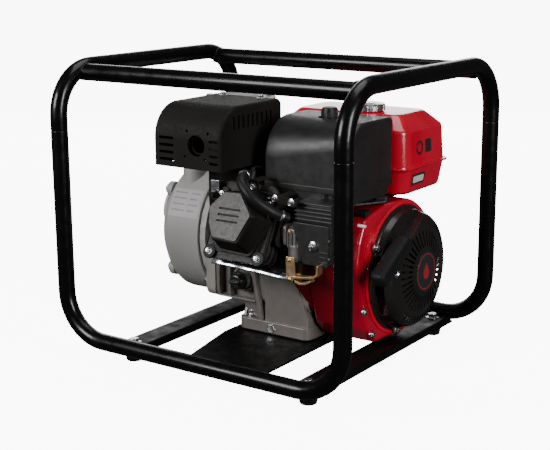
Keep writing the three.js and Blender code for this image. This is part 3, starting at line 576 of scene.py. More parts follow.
def smooth_path(points, steps=8):
    """A Catmull-Rom curve through given points."""
    stops = [Vector(p) for p in points]
    stops = [stops[0] * 2 - stops[1], *stops, stops[-1] * 2 - stops[-2]]
    path = []
    for k in range(1, len(stops) - 2):
        a, b, c, d = stops[k - 1:k + 3]
        for i in range(steps):
            t = i / steps
            path.append(0.5 * (2 * b + (c - a) * t + (2 * a - 5 * b + 4 * c - d) * t * t
                               + (3 * b - a - 3 * c + d) * t ** 3))
    path.append(stops[-2])
    return path


def moved(made, matrix):
    made.transform(matrix)
    return made


def shifted(made, x, y, z):
    return moved(made, Matrix.Translation((x, y, z)))


def turned_about(made, angle, axis):
    return moved(made, Matrix.Rotation(angle, 4, axis))


def together(*parts):
    """Several solids in one mesh, each keeping its own shell."""
    whole = bmesh.new()
    for part in parts:
        mesh = bpy.data.meshes.new("part")
        part.to_mesh(mesh)
        whole.from_mesh(mesh)
        bpy.data.meshes.remove(mesh)
        part.free()
    return whole


def scratch(made):
    mesh = bpy.data.meshes.new("scratch")
    made.to_mesh(mesh)
    made.free()
    holder = bpy.data.objects.new("scratch", mesh)
    bpy.context.scene.collection.objects.link(holder)
    return holder


def boolean(base, tools, operation):
    """The base with each tool cut away or joined on."""
    holder = scratch(base)
    others = [scratch(tool) for tool in tools]
    for other in others:
        step = holder.modifiers.new("step", "BOOLEAN")
        step.object = other
        step.operation = operation
        step.solver = "EXACT"
    result = bmesh.new()
    bpy.context.view_layer.update()
    result.from_object(holder, bpy.context.evaluated_depsgraph_get())
    for thing in (holder, *others):
        mesh = thing.data
        bpy.data.objects.remove(thing)
        bpy.data.meshes.remove(mesh)
    flat = math.radians(0.5)
    bmesh.ops.dissolve_limit(result, angle_limit=flat, verts=result.verts, edges=result.edges)
    return result


def cut(base, *tools):
    return boolean(base, tools, "DIFFERENCE")


def union(base, *tools):
    return boolean(base, tools, "UNION")


def eased(made, width, segments=2, angle=40):
    """Rounds every edge sharper than an angle, as a casting, a moulding or a pressed sheet has."""
    sharp = []
    for edge in made.edges:
        if len(edge.link_faces) == 2 and edge.calc_face_angle(0) > math.radians(angle):
            sharp.append(edge)
    if sharp:
        bmesh.ops.bevel(made, geom=sharp, offset=width, segments=segments, profile=0.5,
                        affect="EDGES", clamp_overlap=True)
    return made


def piece(name, made, material, body, *nodes, sharp=38, slot=None):
    """A finished piece: in metres, smooth-shaded, riding on a body, standing for CAD nodes."""
    bmesh.ops.remove_doubles(made, verts=made.verts, dist=0.001)
    mesh = bpy.data.meshes.new(name)
    made.transform(Matrix.Scale(MM, 4))
    made.to_mesh(mesh)
    made.free()
    for face in mesh.polygons:
        face.use_smooth = True
    mesh.set_sharp_from_angle(angle=math.radians(sharp))
    made_object = bpy.data.objects.new(name, mesh)
    bpy.context.scene.collection.objects.link(made_object)
    mesh.materials.append(MATERIALS[material])
    weighted = made_object.modifiers.new("weighted", "WEIGHTED_NORMAL")
    weighted.keep_sharp = True
    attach(made_object, body)
    if nodes:
        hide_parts(*nodes)
    return made_object


def dress(node, material):
    """Keeps a CAD node's own shape, with eased edges and a real finish."""
    shown = NODES[node]
    shown.data.materials.clear()
    shown.data.materials.append(MATERIALS[material])
    shown.modifiers.new("weld", "WELD").merge_threshold = 0.00001
    bevel = shown.modifiers.new("edge", "BEVEL")
    bevel.width = 0.4 * MM
    bevel.segments = 2
    bevel.limit_method = "ANGLE"
    bevel.angle_limit = math.radians(38)


# ---------------------------------------------------------------- fasteners
def hexagon(radius, turn=0.0):
    return [(radius * math.cos(turn + k * math.pi / 3), radius * math.sin(turn + k * math.pi / 3))
            for k in range(6)]


def bolt_head(across, height, flange=0.0, turn=0.3):
    """A hexagon head standing on z = 0, with a washer face, a chamfered top and a dished crown."""
    radius = across / math.sqrt(3)
    sections = [(hexagon(radius, turn), flange * 0.4), (hexagon(radius, turn), height - 0.5)]
    sections.append((hexagon(radius * 0.9, turn), height))
    head = eased(loft(sections), 0.25, 1, 20)
    parts = [head, turned("z", [(height - 0.1, 0), (height - 0.1, radius * 0.72),
                                (height + 0.35, radius * 0.7), (height + 0.1, radius * 0.5),
                                (height + 0.1, 0)], sides=24)]
    if flange:
        reach = across * 0.82
        parts.append(turned("z", [(0, 0), (0, reach), (flange * 0.4, reach), (flange, radius * 0.9),
                                  (flange, 0)], sides=32))
    return together(*parts)


def socket_screw(radius, height):
    """A cylinder head with a hexagon socket, standing on z = 0."""
    head = rod("z", 0, height, radius, sides=32, edge=0.6)
    return cut(head, prism("z", hexagon(radius * 0.55), height * 0.45, height + 1))


def pan_screw(radius, height):
    """A domed head with a cross recess, standing on z = 0."""
    profile = [(0, 0), (0, radius), (height * 0.3, radius), (height * 0.75, radius * 0.8),
               (height, radius * 0.4), (height, 0)]
    head = turned("z", profile, sides=32)
    wide, slim = radius * 0.5, radius * 0.12
    arms = [block(-wide, wide, -slim, slim, height * 0.4, height + 1),
            block(-slim, slim, -wide, wide, height * 0.4, height + 1)]
    return cut(head, *arms)


def facing(direction, place):
    """The matrix that stands a +Z piece on a place, facing a direction."""
    spin = Vector(direction).to_track_quat("Z", "Y").to_matrix().to_4x4()
    return Matrix.Translation(place) @ spin


def set_of(maker, places, direction):
    """One mesh of the same fastener at several places."""
    return together(*[moved(maker(), facing(direction, place)) for place in places])


def bolts(name, head, places, direction, stand=lambda made: made):
    """A piece of zinc-plated bolts; head is (across flats, height, washer)."""
    piece(name, stand(set_of(lambda: bolt_head(*head), places, direction)), "zinc", "chassis")


def around(count, reach, centre=(0, 0), start=0.0):
    """Points spread evenly on a circle."""
    angles = [start + 2 * math.pi * k / count for k in range(count)]
    return [(centre[0] + reach * math.cos(a), centre[1] + reach * math.sin(a)) for a in angles]


# ---------------------------------------------------------------- carry frame
hoop_low, hoop_high = span("right_hoop")
sill_low, sill_high = span("rear_sill")
TUBE = (hoop_high[0] - hoop_low[0]) / 2
BEND = 70
HALF_LENGTH = round(hoop_high[0] - TUBE)
HALF_WIDTH = round(hoop_high[1] - TUBE)
FRAME_LOW = round(sill_low[2] + TUBE)
FRAME_HIGH = round(hoop_high[2] - TUBE)
JOINT = round((hoop_low[2] + sill_high[2]) / 2)
RAIL_Y, RAIL_Z = middle("rear_rail")[1:]
CROSS_X = [middle(f"{side}_crossmember")[0] for side in ("left", "right")]
CROSS_TOP = span("engine_plate")[1][2]
FOOT_Y = middle("foot_rear_left")[1]


def build_frame():
    for side, x in (("left", -HALF_LENGTH), ("right", HALF_LENGTH)):
        corners = [(x, -HALF_WIDTH, JOINT + 0.3), (x, -HALF_WIDTH, FRAME_HIGH),
                   (x, HALF_WIDTH, FRAME_HIGH), (x, HALF_WIDTH, JOINT + 0.3)]
        hoop = tube(bent_path(corners, BEND), TUBE, sides=40)
        piece(f"{side}_hoop_tube", eased(hoop, 0.7), "frame_paint", "chassis", f"{side}_hoop")
    for side, y in (("front", -HALF_WIDTH), ("rear", HALF_WIDTH)):
        corners = [(-HALF_LENGTH, y, JOINT - 0.3), (-HALF_LENGTH, y, FRAME_LOW),
                   (HALF_LENGTH, y, FRAME_LOW), (HALF_LENGTH, y, JOINT - 0.3)]
        sill = tube(bent_path(corners, BEND), TUBE, sides=40)
        piece(f"{side}_sill_tube", eased(sill, 0.7), "frame_paint", "chassis", f"{side}_sill")
    for side, y in (("front", -RAIL_Y), ("rear", RAIL_Y)):
        low, high = -HALF_LENGTH + 4, HALF_LENGTH - 4
        straight = rod("x", low, high, TUBE, (y, RAIL_Z), sides=40)
        piece(f"{side}_rail_tube", straight, "frame_paint", "chassis", f"{side}_rail")
    build_welds()
    build_cross_members()
    build_feet()
    # The dark inner rims that show where two tubes are sleeved together.
    rims = [ring("z", JOINT - 0.5, JOINT + 0.5, TUBE - 2.4, TUBE - 1.2, (x, y), edge=0.1)
            for x in (-HALF_LENGTH, HALF_LENGTH) for y in (-HALF_WIDTH, HALF_WIDTH)]
    piece("sleeve_rims", together(*rims), "rubber", "chassis")


def rail_weld(side, x, y):
    """The saddle bead where a rail meets a hoop's top tube."""
    draw = random.Random(f"weld {side} {y:.0f}")
    lumps = []
    count = 34
    for k in range(count):
        angle = 2 * math.pi * k / count
        dy, dz = TUBE * math.cos(angle), TUBE * math.sin(angle)
        drop = RAIL_Z + dz - FRAME_HIGH
        reach = math.sqrt(max(TUBE ** 2 - drop ** 2, 0.0))
        place = (x - math.copysign(reach, x), y + dy, RAIL_Z + dz)
        if abs(drop) > TUBE:
            continue
        lump = bmesh.new()
        bmesh.ops.create_icosphere(lump, subdivisions=2, radius=1.9 * draw.uniform(0.85, 1.15))
        lumps.append(shifted(lump, *place))
    return together(*lumps)


def build_welds():
    for side, x in (("left", -HALF_LENGTH), ("right", HALF_LENGTH)):
        beads = [rail_weld(side, x, y) for y in (-RAIL_Y, RAIL_Y)]
        piece(f"{side}_rail_welds", together(*beads), "frame_paint", "chassis", sharp=80)


def coped(made):
    """Cuts the two sill tubes away from what is laid over them."""
    return cut(made, *[rod("x", -HALF_LENGTH, HALF_LENGTH, TUBE + 0.05, (y, FRAME_LOW))
                       for y in (-HALF_WIDTH, HALF_WIDTH)])


def channel(x):
    """A pressed cross member, open below, its ends coped over the sills."""
    half, wall, low = 21, 3, 15
    inside, top = half - wall, CROSS_TOP - wall
    outline = rounded([
        (x - half, low, 0), (x - inside, low, 0), (x - inside, top, 1.5), (x + inside, top, 1.5),
        (x + inside, low, 0), (x + half, low, 0), (x + half, CROSS_TOP, 4), (x - half, CROSS_TOP, 4),
    ], 5)
    beam = prism("y", [(z, across) for across, z in outline], -HALF_WIDTH + 3, HALF_WIDTH - 3)
    return coped(beam)


def build_cross_members():
    for side, x in zip(("left", "right"), CROSS_X):
        piece(f"{side}_channel", channel(x), "deck_paint", "chassis", f"{side}_crossmember")
    outline = [(98, -208), (98, 208), (-30, 208), (-62, 60), (-62, -60), (-30, -208)]
    sheet = prism("z", rounded([(x, y, 6) for x, y in outline]), CROSS_TOP - 4, CROSS_TOP)
    piece("engine_plate_sheet", eased(coped(sheet), 0.6), "deck_paint", "chassis", "engine_plate")
    spots = [(x, y, CROSS_TOP) for x in CROSS_X for y in (-FOOT_Y, FOOT_Y)]
    bolts("foot_bolts", (13, 6.5, 2.2), spots, (0, 0, 1))


def build_feet():
    profile = [(0, 0), (0, 4.5), (1.5, 5), (2.5, 10), (0.2, 11), (0, 11.6), (0.8, 12.2), (3, 12.6),
               (12, 14.6), (13.6, 15), (23.6, 15), (23.6, 0)]
    for side, x in zip(("left", "right"), CROSS_X):
        for end, y in (("front", -FOOT_Y), ("rear", FOOT_Y)):
            foot = turned("z", profile, (x, y), sides=40)
            piece(f"rubber_foot_{end}_{side}", foot, "rubber", "chassis", f"foot_{end}_{side}")


# ---------------------------------------------------------------- fan shroud and recoil starter
CRANK = middle("recoil_pulley")[1:]
SHROUD_LEFT, SHROUD_RIGHT = (corner[0] for corner in span("fan_shroud"))
COVER_BASE, COVER_NOSE = (corner[0] for corner in span("recoil_cover"))
FLAT_SLOPE = math.pi / 6
FLAT_REACH = 64


def about_crank(made):
    """From coordinates about the crankshaft to the row frame."""
    return shifted(made, 0, *CRANK)


def shroud_outline(shrink):
    reach = 104 - shrink
    arc = []
    for k in range(43):
        angle = math.radians(-84 + 4 * k)
        arc.append((reach * math.cos(angle), reach * math.sin(angle), 0))
    duct = [(-50, reach, 16), (-104 + shrink, 88 - shrink, 14), (-118 + shrink, 60, 14),
            (-126 + shrink, 26, 26), (-92 + shrink, -78, 20), (-72 + shrink, -100 + shrink, 12)]
    return rounded(arc + duct, 6)


def build_shroud():
    outer = eased(prism("x", shroud_outline(0), SHROUD_LEFT, SHROUD_RIGHT), 5, 5, 60)
    inner = prism("x", shroud_outline(2.5), SHROUD_LEFT - 6, SHROUD_RIGHT - 2.5)
    opening = rod("x", SHROUD_RIGHT - 10, SHROUD_RIGHT + 10, 84, sides=96)
    shell = cut(outer, inner, opening)
    # The shell's red carries painted shade: darker overall, and darker still towards the crankcase.
    piece("fan_shroud_shell", about_crank(shell), "shroud_red_painted_shade", "chassis", "fan_shroud", sharp=30)
    # A raised pressing round the starter, with the bead that the cover's rim sits in.
    bead = ring("x", SHROUD_RIGHT - 0.5, SHROUD_RIGHT + 1.6, 96, 101.5, sides=96, edge=1.2)
    piece("shroud_bead", about_crank(bead), "red_paint", "chassis", sharp=50)
    # The stiffening panel pressed into the duct side.
    panel = rounded([(-98, 66, 12), (-62, 84, 12), (-84, 20, 16), (-112, 26, 14)])
    pressing = eased(prism("x", panel, SHROUD_RIGHT - 0.4, SHROUD_RIGHT + 1.4), 1.2, 3)
    piece("shroud_pressing", about_crank(pressing), "red_paint", "chassis")
    ends = [(SHROUD_RIGHT, -104, -44), (SHROUD_RIGHT, -82, -84)]
    bolts("shroud_bolts", (8, 4.5, 1.8), ends, (1, 0, 0), about_crank)
    sides = [(106, -124, 18), (150, -124, 18), (128, -96, -72)]
    bolts("shroud_side_bolts", (8, 4.5, 1.8), sides, (0, -1, 0.1), about_crank)
    # The pale stop pin of the speed control, beside the shroud's upper front corner.
    pin = turned("x", [(172.2, 0), (172.2, 2.4), (183.6, 2.4), (184.6, 1.4), (184.6, 0)], (-123, 88), 24)
    piece("speed_stop", about_crank(pin), "label", "chassis")
    build_duct_skirt()


def build_duct_skirt():
    """The pressed lip that carries the duct's front over the crankcase, its left edge slanting."""
    outer = prism("x", shroud_outline(0), 46, SHROUD_LEFT + 0.5)
    skin = cut(outer, prism("x", shroud_outline(2.2), 40, 90))
    lip = [(56, 148), (56, 124), (53, 119), (82, 74), (82, 148)]
    window = prism("y", [(z - CRANK[1], x) for x, z in lip], -140, -84)
    skirt = boolean(skin, [window], "INTERSECT")
    # The skirt's red carries painted shade: darker overall, and darker still towards the crankcase.
    piece("shroud_duct_skirt", about_crank(eased(skirt, 0.6)), "shroud_red_painted_shade", "chassis", sharp=30)


def cover_profile(base, inset):
    """The starter cover from its rim to its nose: [x, radius]."""
    rim = 95 - inset * 2.6
    foot = [(base, 0), (base, rim), (base + 3.2, rim), (base + 4, 92.5 - inset), (base + 6, 90.6 - inset)]
    wall = [(195, 86.5), (199, 85), (202.4, 82.5), (204.4, 79.5)]
    dome = [(205.6, 75), (209, 60), (213.2, 42), (215.4, 34), (COVER_NOSE, 31), (COVER_NOSE, 0)]
    return foot + [(x - inset, r - inset) for x, r in wall] + [(x - inset, r) for x, r in dome]


def sector(radius_in, radius_out, middle, width, low, high, steps=4):
    """A block over part of a ring about the X axis."""
    outline = []
    for radius, order in ((radius_out, range(steps + 1)), (radius_in, range(steps, -1, -1))):
        for k in order:
            angle = middle + width * (k / steps - 0.5)
            outline.append((radius * math.cos(angle), radius * math.sin(angle)))
    return prism("x", outline, low, high)


def radial_slot(angle, start, end, half, low, high):
    """A slot with round ends that runs outward from the X axis."""
    slot = prism("x", rectangle(start, end, -half, half, half * 0.98, 4), low, high)
    return turned_about(slot, angle, "X")


def build_recoil_cover():
    flat = block(186.3, 240, -100, 100, FLAT_REACH, 140)
    behind = block(184, 240, -100, 100, FLAT_REACH - 2.5, 140)
    outer = turned("x", cover_profile(COVER_BASE, 0), sides=112)
    outer = cut(outer, turned_about(flat, FLAT_SLOPE, "X"))
    inner = turned("x", cover_profile(COVER_BASE - 1, 2.5), sides=112)
    inner = cut(inner, turned_about(behind, FLAT_SLOPE, "X"))
    tools = []
    count = 36
    for k in range(count):
        tools.append(radial_slot(2 * math.pi * k / count, 37, 61, 1.7, 190, 230))
    rim_count = 28
    for k in range(rim_count + 1):
        angle = math.radians(-125) + math.radians(178) * k / rim_count
        tools.append(radial_slot(angle, 70, 80, 2.3, 190, 230))
    windows = [(-150 + 32 * k, 24) for k in range(7)] + [(190, 20), (164, 16)]
    for angle, width in windows:
        tools.append(sector(78, 100, math.radians(angle), math.radians(width), 180, 194))
    tools.append(tube([(202, -44, -15), (202, -120, 61)], 5, 16))
    walls = cut(outer, inner, *tools)
    piece("recoil_cover_shell", about_crank(walls), "gloss_plastic", "chassis", "recoil_cover", sharp=32)
    ears, spots = [], []
    ear_top = COVER_BASE + 4
    for angle in (-100, 20, 150):
        turn = math.radians(angle)
        outline = rounded([(84, -10, 0), (96, -9, 6), (101, 0, 6), (96, 9, 6), (84, 10, 0)])
        lug = eased(prism("x", outline, COVER_BASE, ear_top), 0.8)
        ears.append(turned_about(lug, turn, "X"))
        spots.append((ear_top, 95 * math.cos(turn), 95 * math.sin(turn)))
    piece("recoil_cover_ears", about_crank(together(*ears)), "gloss_plastic", "chassis")
    bolts("recoil_cover_bolts", (10, 5.5, 2.4), spots, (1, 0, 0), about_crank)
    build_badge()
    # The bright eyelet where the rope comes out of the cover.
    eyelet = ring("z", -1.5, 3.5, 4.2, 7.5, edge=1.2)
    seat = facing((0, -0.7071, 0.7071), (202, -68, 9.5))
    piece("rope_eyelet", about_crank(moved(eyelet, seat)), "chrome", "chassis", slot="steel")


def build_badge():
    """A plain ringed disc at the cover's nose, with a water drop."""
    nose = COVER_NOSE
    disc = rod("x", nose - 0.2, nose + 0.5, 30, sides=96, edge=0.3)
    piece("badge_disc", about_crank(disc), "dark_label", "chassis")
    circle = ring("x", nose + 0.3, nose + 0.65, 25.6, 27.2, sides=96, edge=0.05)
    drop = []
    for k in range(25):
        angle = -math.pi / 2 + 2 * math.pi * k / 25
        lift = max(0.0, math.sin(angle)) ** 3
        drop.append((9 * math.cos(angle) * (1 - 0.55 * lift), 9 * math.sin(angle) + 7 * lift - 3))
    mark = prism("x", drop, nose + 0.3, nose + 0.65)
    piece("badge_print", about_crank(together(circle, mark)), "red_print", "chassis")


def build_recoil_handle():
    """A T-grip with soft ends and a waist, and its rope."""
    half, thick = 46, 12
    low, high = (corner[0] for corner in span("recoil_handle"))
    sections = []
    steps = 14
    for k in range(steps + 1):
        t = k / steps
        x = low + (high - low) * t
        shrink = 1 - 0.20 * abs(2 * t - 1) ** 3.5
        outline = []
        for px, py in rectangle(-half, half, -thick, thick, 8.5, 8):
            waist = 1 - 0.10 * math.cos(px / half * math.pi / 2) ** 2
            outline.append((px * (1 - 0.05 * (1 - shrink) * 5), py * shrink * waist))
        sections.append((outline, x))
    grip = loft(sections, "x")
    grooves = []
    for k in range(-3, 4):
        grooves.append(rod("z", -20, 20, 0.9, (high + 0.25, k * 5.5), sides=12))
    grip = cut(grip, *grooves)
    grip = moved(grip, Matrix.Translation((0, -25, 171)) @ Matrix.Rotation(FLAT_SLOPE, 4, "X"))
    piece("recoil_grip_moulding", grip, "grip_plastic", "recoil_grip", "recoil_handle", sharp=50)
    start = Vector((202, CRANK[0] - 68, CRANK[1] + 9.5))
    away = Vector((0, -0.70711, 0.70711))
    end = start + away * 18
    inside = start - away * 34
    steps = 40
    path = [inside.lerp(end, k / steps) for k in range(steps + 1)]
    rope = piece("starter_rope", tube(path, 2.4, 16), "rope", "chassis", "recoil_rope", sharp=80)
    rope.parent = None
    rope.matrix_world = Matrix.Identity(4)
    del rope["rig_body"]
    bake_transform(rope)


# ---------------------------------------------------------------- fuel tank
tank_low, tank_high = span("fuel_tank")
NECK_HEIGHT = 3
tank_top = tank_high[2] - NECK_HEIGHT
TANK = {
    "left": tank_low[0], "right": tank_high[0], "front": tank_low[1], "back": tank_high[1],
    "low": tank_low[2], "seam": tank_low[2] + 41, "shoulder": tank_top - 22, "top": tank_top,
}
FILLER = middle("fuel_cap")[:2]


def tank_ring(inset, radius):
    return rectangle(TANK["left"] + inset, TANK["right"] - inset, TANK["front"] + inset,
                     TANK["back"] - inset, radius, 10)


def build_tank():
    low, seam, top = TANK["low"], TANK["seam"], TANK["top"]
    wall = rounded([(60, low, 0), (10, low, 8), (4, seam, 10), (7, TANK["shoulder"], 9), (30, top, 9),
                    (60, top, 0)])
    sections = [(tank_ring(inset, max(5.0, 24 - 0.32 * inset)), z) for inset, z in wall]
    piece("fuel_tank_shell", loft(sections), "red_paint", "chassis", "fuel_tank", sharp=50)
    flange = eased(prism("z", tank_ring(0, 22), seam - 1.6, seam + 1.6), 0.8, 3)
    piece("tank_seam_flange", flange, "red_paint", "chassis")
    lip = top + NECK_HEIGHT
    neck = turned("z", [(top - 2, 30), (top + 0.6, 27), (top + 1.6, 23.5), (lip, 22), (lip, 19),
                        (top - 2, 19)], FILLER, 64)
    piece("tank_neck", neck, "red_paint", "chassis")
    build_tank_cap()
    build_tank_marks()
    brackets = [eased(block(x - 9, x + 9, 80, 188, low - 4, low + 0.5), 1) for x in (8, 144)]
    piece("tank_brackets", together(*brackets), "black_sheet", "chassis")
    posts = [rod("z", 205, low - 3, 6, (x, y), sides=24) for x in (8, 60) for y in (100, 160)]
    piece("tank_posts", together(*posts), "black_sheet", "chassis")


def build_tank_cap():
    top = TANK["top"]
    profile = [(top + 3.4, 0), (top + 3.4, 24), (top + 4.4, 25), (top + 11.5, 25), (top + 13.6, 23.6),
               (top + 14.4, 21), (top + 14.8, 16), (top + 15.6, 14.5), (top + 15.8, 0)]
    cap = turned("z", profile, FILLER, 96)
    notches = [rod("z", top, top + 12.4, 3.6, spot, 20) for spot in around(12, 26.8, FILLER)]
    piece("fuel_cap_shell", eased(cut(cap, *notches), 0.4, 2, 30), "chrome", "tank_cap", "fuel_cap")


def on_tank_end(made, z):
    """Lays a flat mark, drawn in (y, z), on the tank's right end at a height."""
    seam = TANK["seam"]
    if z > seam:
        slope = -3 / (TANK["shoulder"] - seam)
    else:
        slope = 6 / (seam - TANK["low"])
    x = TANK["right"] - 4 + (z - seam) * slope
    return moved(made, Matrix.Translation((x + 0.15, 0, z)) @ Matrix.Rotation(math.atan(slope), 4, "Y"))


def build_tank_marks():
    def flat(outline, thick=0.35):
        return prism("x", outline, -0.1, thick)
    hoop = ring("x", -0.1, 0.35, 7.2, 10.8, (110, 0), 48, 0.05)
    bar = flat(rectangle(128, 146, -10, 10, 2))
    piece("tank_end_marks", on_tank_end(together(hoop, bar), 312), "dark_label", "chassis")
    panel = on_tank_end(flat(rectangle(90, 129, -8.5, 8.5, 3)), 265)
    piece("tank_end_plate", panel, "dark_label", "chassis")
    blank = on_tank_end(flat(rectangle(93.5, 125.5, -5, 5, 2), 0.6), 265)
    piece("tank_end_print", blank, "label", "chassis")


# ---------------------------------------------------------------- air cleaner
def box_of(node):
    """The six faces of a CAD node's box by name."""
    low, high = span(node)
    return {
        "left": low[0], "right": high[0], "front": low[1], "back": high[1], "low": low[2], "top": high[2],
    }


CLEANER = {**box_of("air_cleaner_cover"), "round": 60, "end_round": 34}
STUD = middle("air_cleaner_knob")[:2]


def ease_ends(made, low, width):
    """Rounds the rims of a cover's two ends, above its open foot."""
    rims = []
    for edge in made.edges:
        first, second = (vertex.co for vertex in edge.verts)
        bent = len(edge.link_faces) == 2 and edge.calc_face_angle(0) > 1.0
        if bent and abs(first.x - second.x) < 0.01 and max(first.z, second.z) > low + 1:
            rims.append(edge)
    bmesh.ops.bevel(made, geom=rims, offset=width, segments=5, profile=0.5, affect="EDGES",
                    clamp_overlap=True)


def cleaner_solid(shrink, low):
    """The cover's body; the round along its front tightens from the left end to the right."""
    c = CLEANER
    steps = 8
    sections = []
    for k in range(steps + 1):
        t = k / steps
        front, back, top = c["front"] + shrink, c["back"] - shrink, c["top"] - shrink
        bend = c["round"] + (c["end_round"] - c["round"]) * t - shrink
        outline = rounded([(front, low, 0), (back, low, 0), (back, top, 8), (front, top, bend)], 16)
        sections.append((outline, c["left"] + shrink + (c["right"] - c["left"] - 2 * shrink) * t))
    return loft(sections, "x")


def build_cleaner():
    c = CLEANER
    outer = cleaner_solid(0, c["low"])
    ease_ends(outer, c["low"], 4.5)
    inner = cleaner_solid(2.5, c["low"] - 5)
    top = c["top"]
    recess = rod("z", top - 3, top + 4, 17, STUD)
    stud_hole = rod("z", top - 12, top + 5, 4, STUD, 24)
    shell = cut(outer, inner, recess, stud_hole)
    piece("air_cleaner_shell", shell, "black_plastic", "chassis", "air_cleaner_cover", sharp=34)
    # A step line round the foot of the cover.
    around_foot = rectangle(c["left"] - 1.2, c["right"] + 1.2, c["front"] - 1.2, c["back"] + 1, 4)
    within_foot = rectangle(c["left"] + 1, c["right"] - 1, c["front"] + 1, c["back"] - 1, 3)
    skirt = cut(prism("z", around_foot, c["low"] - 1, c["low"] + 7),
                prism("z", within_foot, c["low"] - 3, c["low"] + 9))
    piece("air_cleaner_skirt", eased(skirt, 0.7), "black_plastic", "chassis")
    floor = cut(rod("z", top - 4, top - 2.8, 17.5, STUD), rod("z", top - 9, top + 5, 4, STUD, 24))
    piece("cleaner_nut_seat", floor, "black_plastic", "chassis")
    profile = [(-10, 0), (-10, 3.2), (CLEAR, 3.2), (CLEAR, 12), (1.2, 12.6), (12, 12), (14.4, 10), (15, 7),
               (15, 0)]
    knob = turned("z", [(top + z, radius) for z, radius in profile], STUD, 60)
    flutes = [rod("z", top - 1, top + 20, 2.6, spot, 16) for spot in around(10, 14, STUD)]
    nut = eased(cut(knob, *flutes), 0.5, 2, 30)
    piece("cleaner_wing_nut", nut, "black_plastic", "cleaner_nut", "air_cleaner_knob")
    build_cleaner_base()


def build_cleaner_base():
    c = CLEANER
    outline = rectangle(c["left"] + 2, c["right"] - 2, c["front"] + 2, c["back"] - 3, 8)
    tray = eased(prism("z", outline, 250, c["low"] - CLEAR), 1.5)
    neck = eased(block(92, 151.3, c["front"] - 30, -36, 226, 252), 1.2)
    levels = [229 + 5.8 * k for k in range(5)]
    ribs = [eased(block(90.5, 151.8, c["front"] - 32.2, -38, z, z + 2.6), 0.7) for z in levels]
    air_hole = rod("z", 220, 270, 12, (124, -62), 32)
    piece("cleaner_tray", cut(union(tray, neck), air_hole), "black_plastic", "chassis", "air_cleaner_base")
    piece("cleaner_ribs", together(*ribs), "black_plastic", "chassis")


# ---------------------------------------------------------------- exhaust
SHIELD = {**box_of("muffler_shield"), "round": 50}
TAIL = (-57, 326)


def shield_outline(shrink, low):
    s = SHIELD
    return rounded([(s["front"] + shrink, low, 0), (s["back"] - shrink, low, 0),
                    (s["back"] - shrink, s["top"] - shrink, 10),
                    (s["front"] + shrink, s["top"] - shrink, s["round"] - shrink)], 16)


def build_exhaust():
    s = SHIELD
    outer = prism("x", shield_outline(0, s["low"]), s["left"], s["right"])
    ease_ends(outer, s["low"], 5)
    inner = prism("x", shield_outline(1.6, s["low"] - 5), s["left"] + 1.6, s["right"] - 1.6)
    tools = [rod("y", s["front"] - 5, s["front"] + 12, 15.6, TAIL, 48)]
    for x, z in ((-75, 346), (-36, 345), (-41, 307), (-78, 309)):
        tools.append(rod("y", s["front"] - 5, s["front"] + 30, 2.2, (x, z), 20))
    for k in range(4):
        z = 302 + 10.6 * k
        for x0, x1 in ((-127, -99), (-34, -17)):
            outline = rectangle(z - 2.2, z + 2.2, x0, x1, 2.1)
            tools.append(prism("y", outline, s["front"] - 5, s["front"] + 12))
    for k in range(9):
        y = -94 + 11.5 * k
        for x0, x1 in ((s["right"] - 8, s["right"] + 6), (s["left"] - 6, s["left"] + 8)):
            tools.append(prism("x", rectangle(y - 2.2, y + 2.2, 348, 368, 2.1), x0, x1))
    shell = cut(outer, inner, *tools)
    piece("muffler_heat_shield", shell, "black_sheet", "chassis", "muffler_shield", sharp=34)
    build_muffler()


def build_muffler():
    outline = rounded([(-104, 300, 18), (8, 300, 18), (8, 366, 18), (-104, 366, 24)], 8)
    can = eased(prism("x", outline, -121, -27), 4, 3)
    tail = turned("y", [(-120.6, 12), (-120.6, 14), (-119, 14), (-119, 12)], TAIL, 40)
    down = tube([(-60, -76, 306), (-60, -76, 250), (-60, -76, 232)], 12, 32)
    elbow = tube(bent_path([(-60, -76, 240), (-60, -76, 218), (-38, -76, 218)], 14), 12, 32)
    flange = eased(block(-43, -38, -96, -56, 200, 236), 1)
    mouth = rod("y", -125, -95, 12, TAIL, 40)
    piece("muffler_body", together(cut(can, mouth), tail, down, elbow, flange), "black_sheet", "chassis",
          "muffler_can")
    seam = prism("x", rounded([(-107, 297, 20), (11, 297, 20), (11, 369, 20), (-107, 369, 26)], 8), -76, -73)
    piece("muffler_seam", eased(seam, 0.8), "black_sheet", "chassis")
    # The sheet that stays the muffler on the cylinder, closing the gap behind the head: partly a real stay,
    # and partly drawn wide as a dark sheet where the gap shows only shade.
    level_part = eased(block(-126, 4, 1.6, 3.2, 238, 299.6), 0.5)
    slanted_part = cut(block(-48, 4, 61, 62.6, 92, 188), rod("y", 50, 70, 15, (170, -22), 32))
    stay_and_shade_sheet = union(level_part, up_cylinder(eased(slanted_part, 0.5)))
    piece("muffler_stay_shade_sheet", stay_and_shade_sheet, "black_sheet", "chassis")
    spots = [(x, 10, SHIELD["top"]) for x in (-112, -40)]
    bolts("shield_screws", (8, 4.5, 1.6), spots, (0, 0, 1))


# ---------------------------------------------------------------- pump end
DRUM_RADIUS = 108
DRUM = (CRANK[0], span("pump_casing")[0][2] + DRUM_RADIUS)
DRUM_LEFT = span("inlet_cover")[1][0] + CLEAR
DRUM_RIGHT = span("pump_back_plate")[0][0] - CLEAR
BORE = 34
INLET_Z, INLET_END = 176, span("inlet_cover")[0][0]
OUTLET = middle("outlet_flange")[:2]
OUTLET_LOW, OUTLET_TOP = (corner[2] for corner in span("outlet_flange"))
PRIMING = middle("priming_cap")[:2]
PUMP_DRAIN = (DRUM[0], middle("pump_drain_plug")[2])


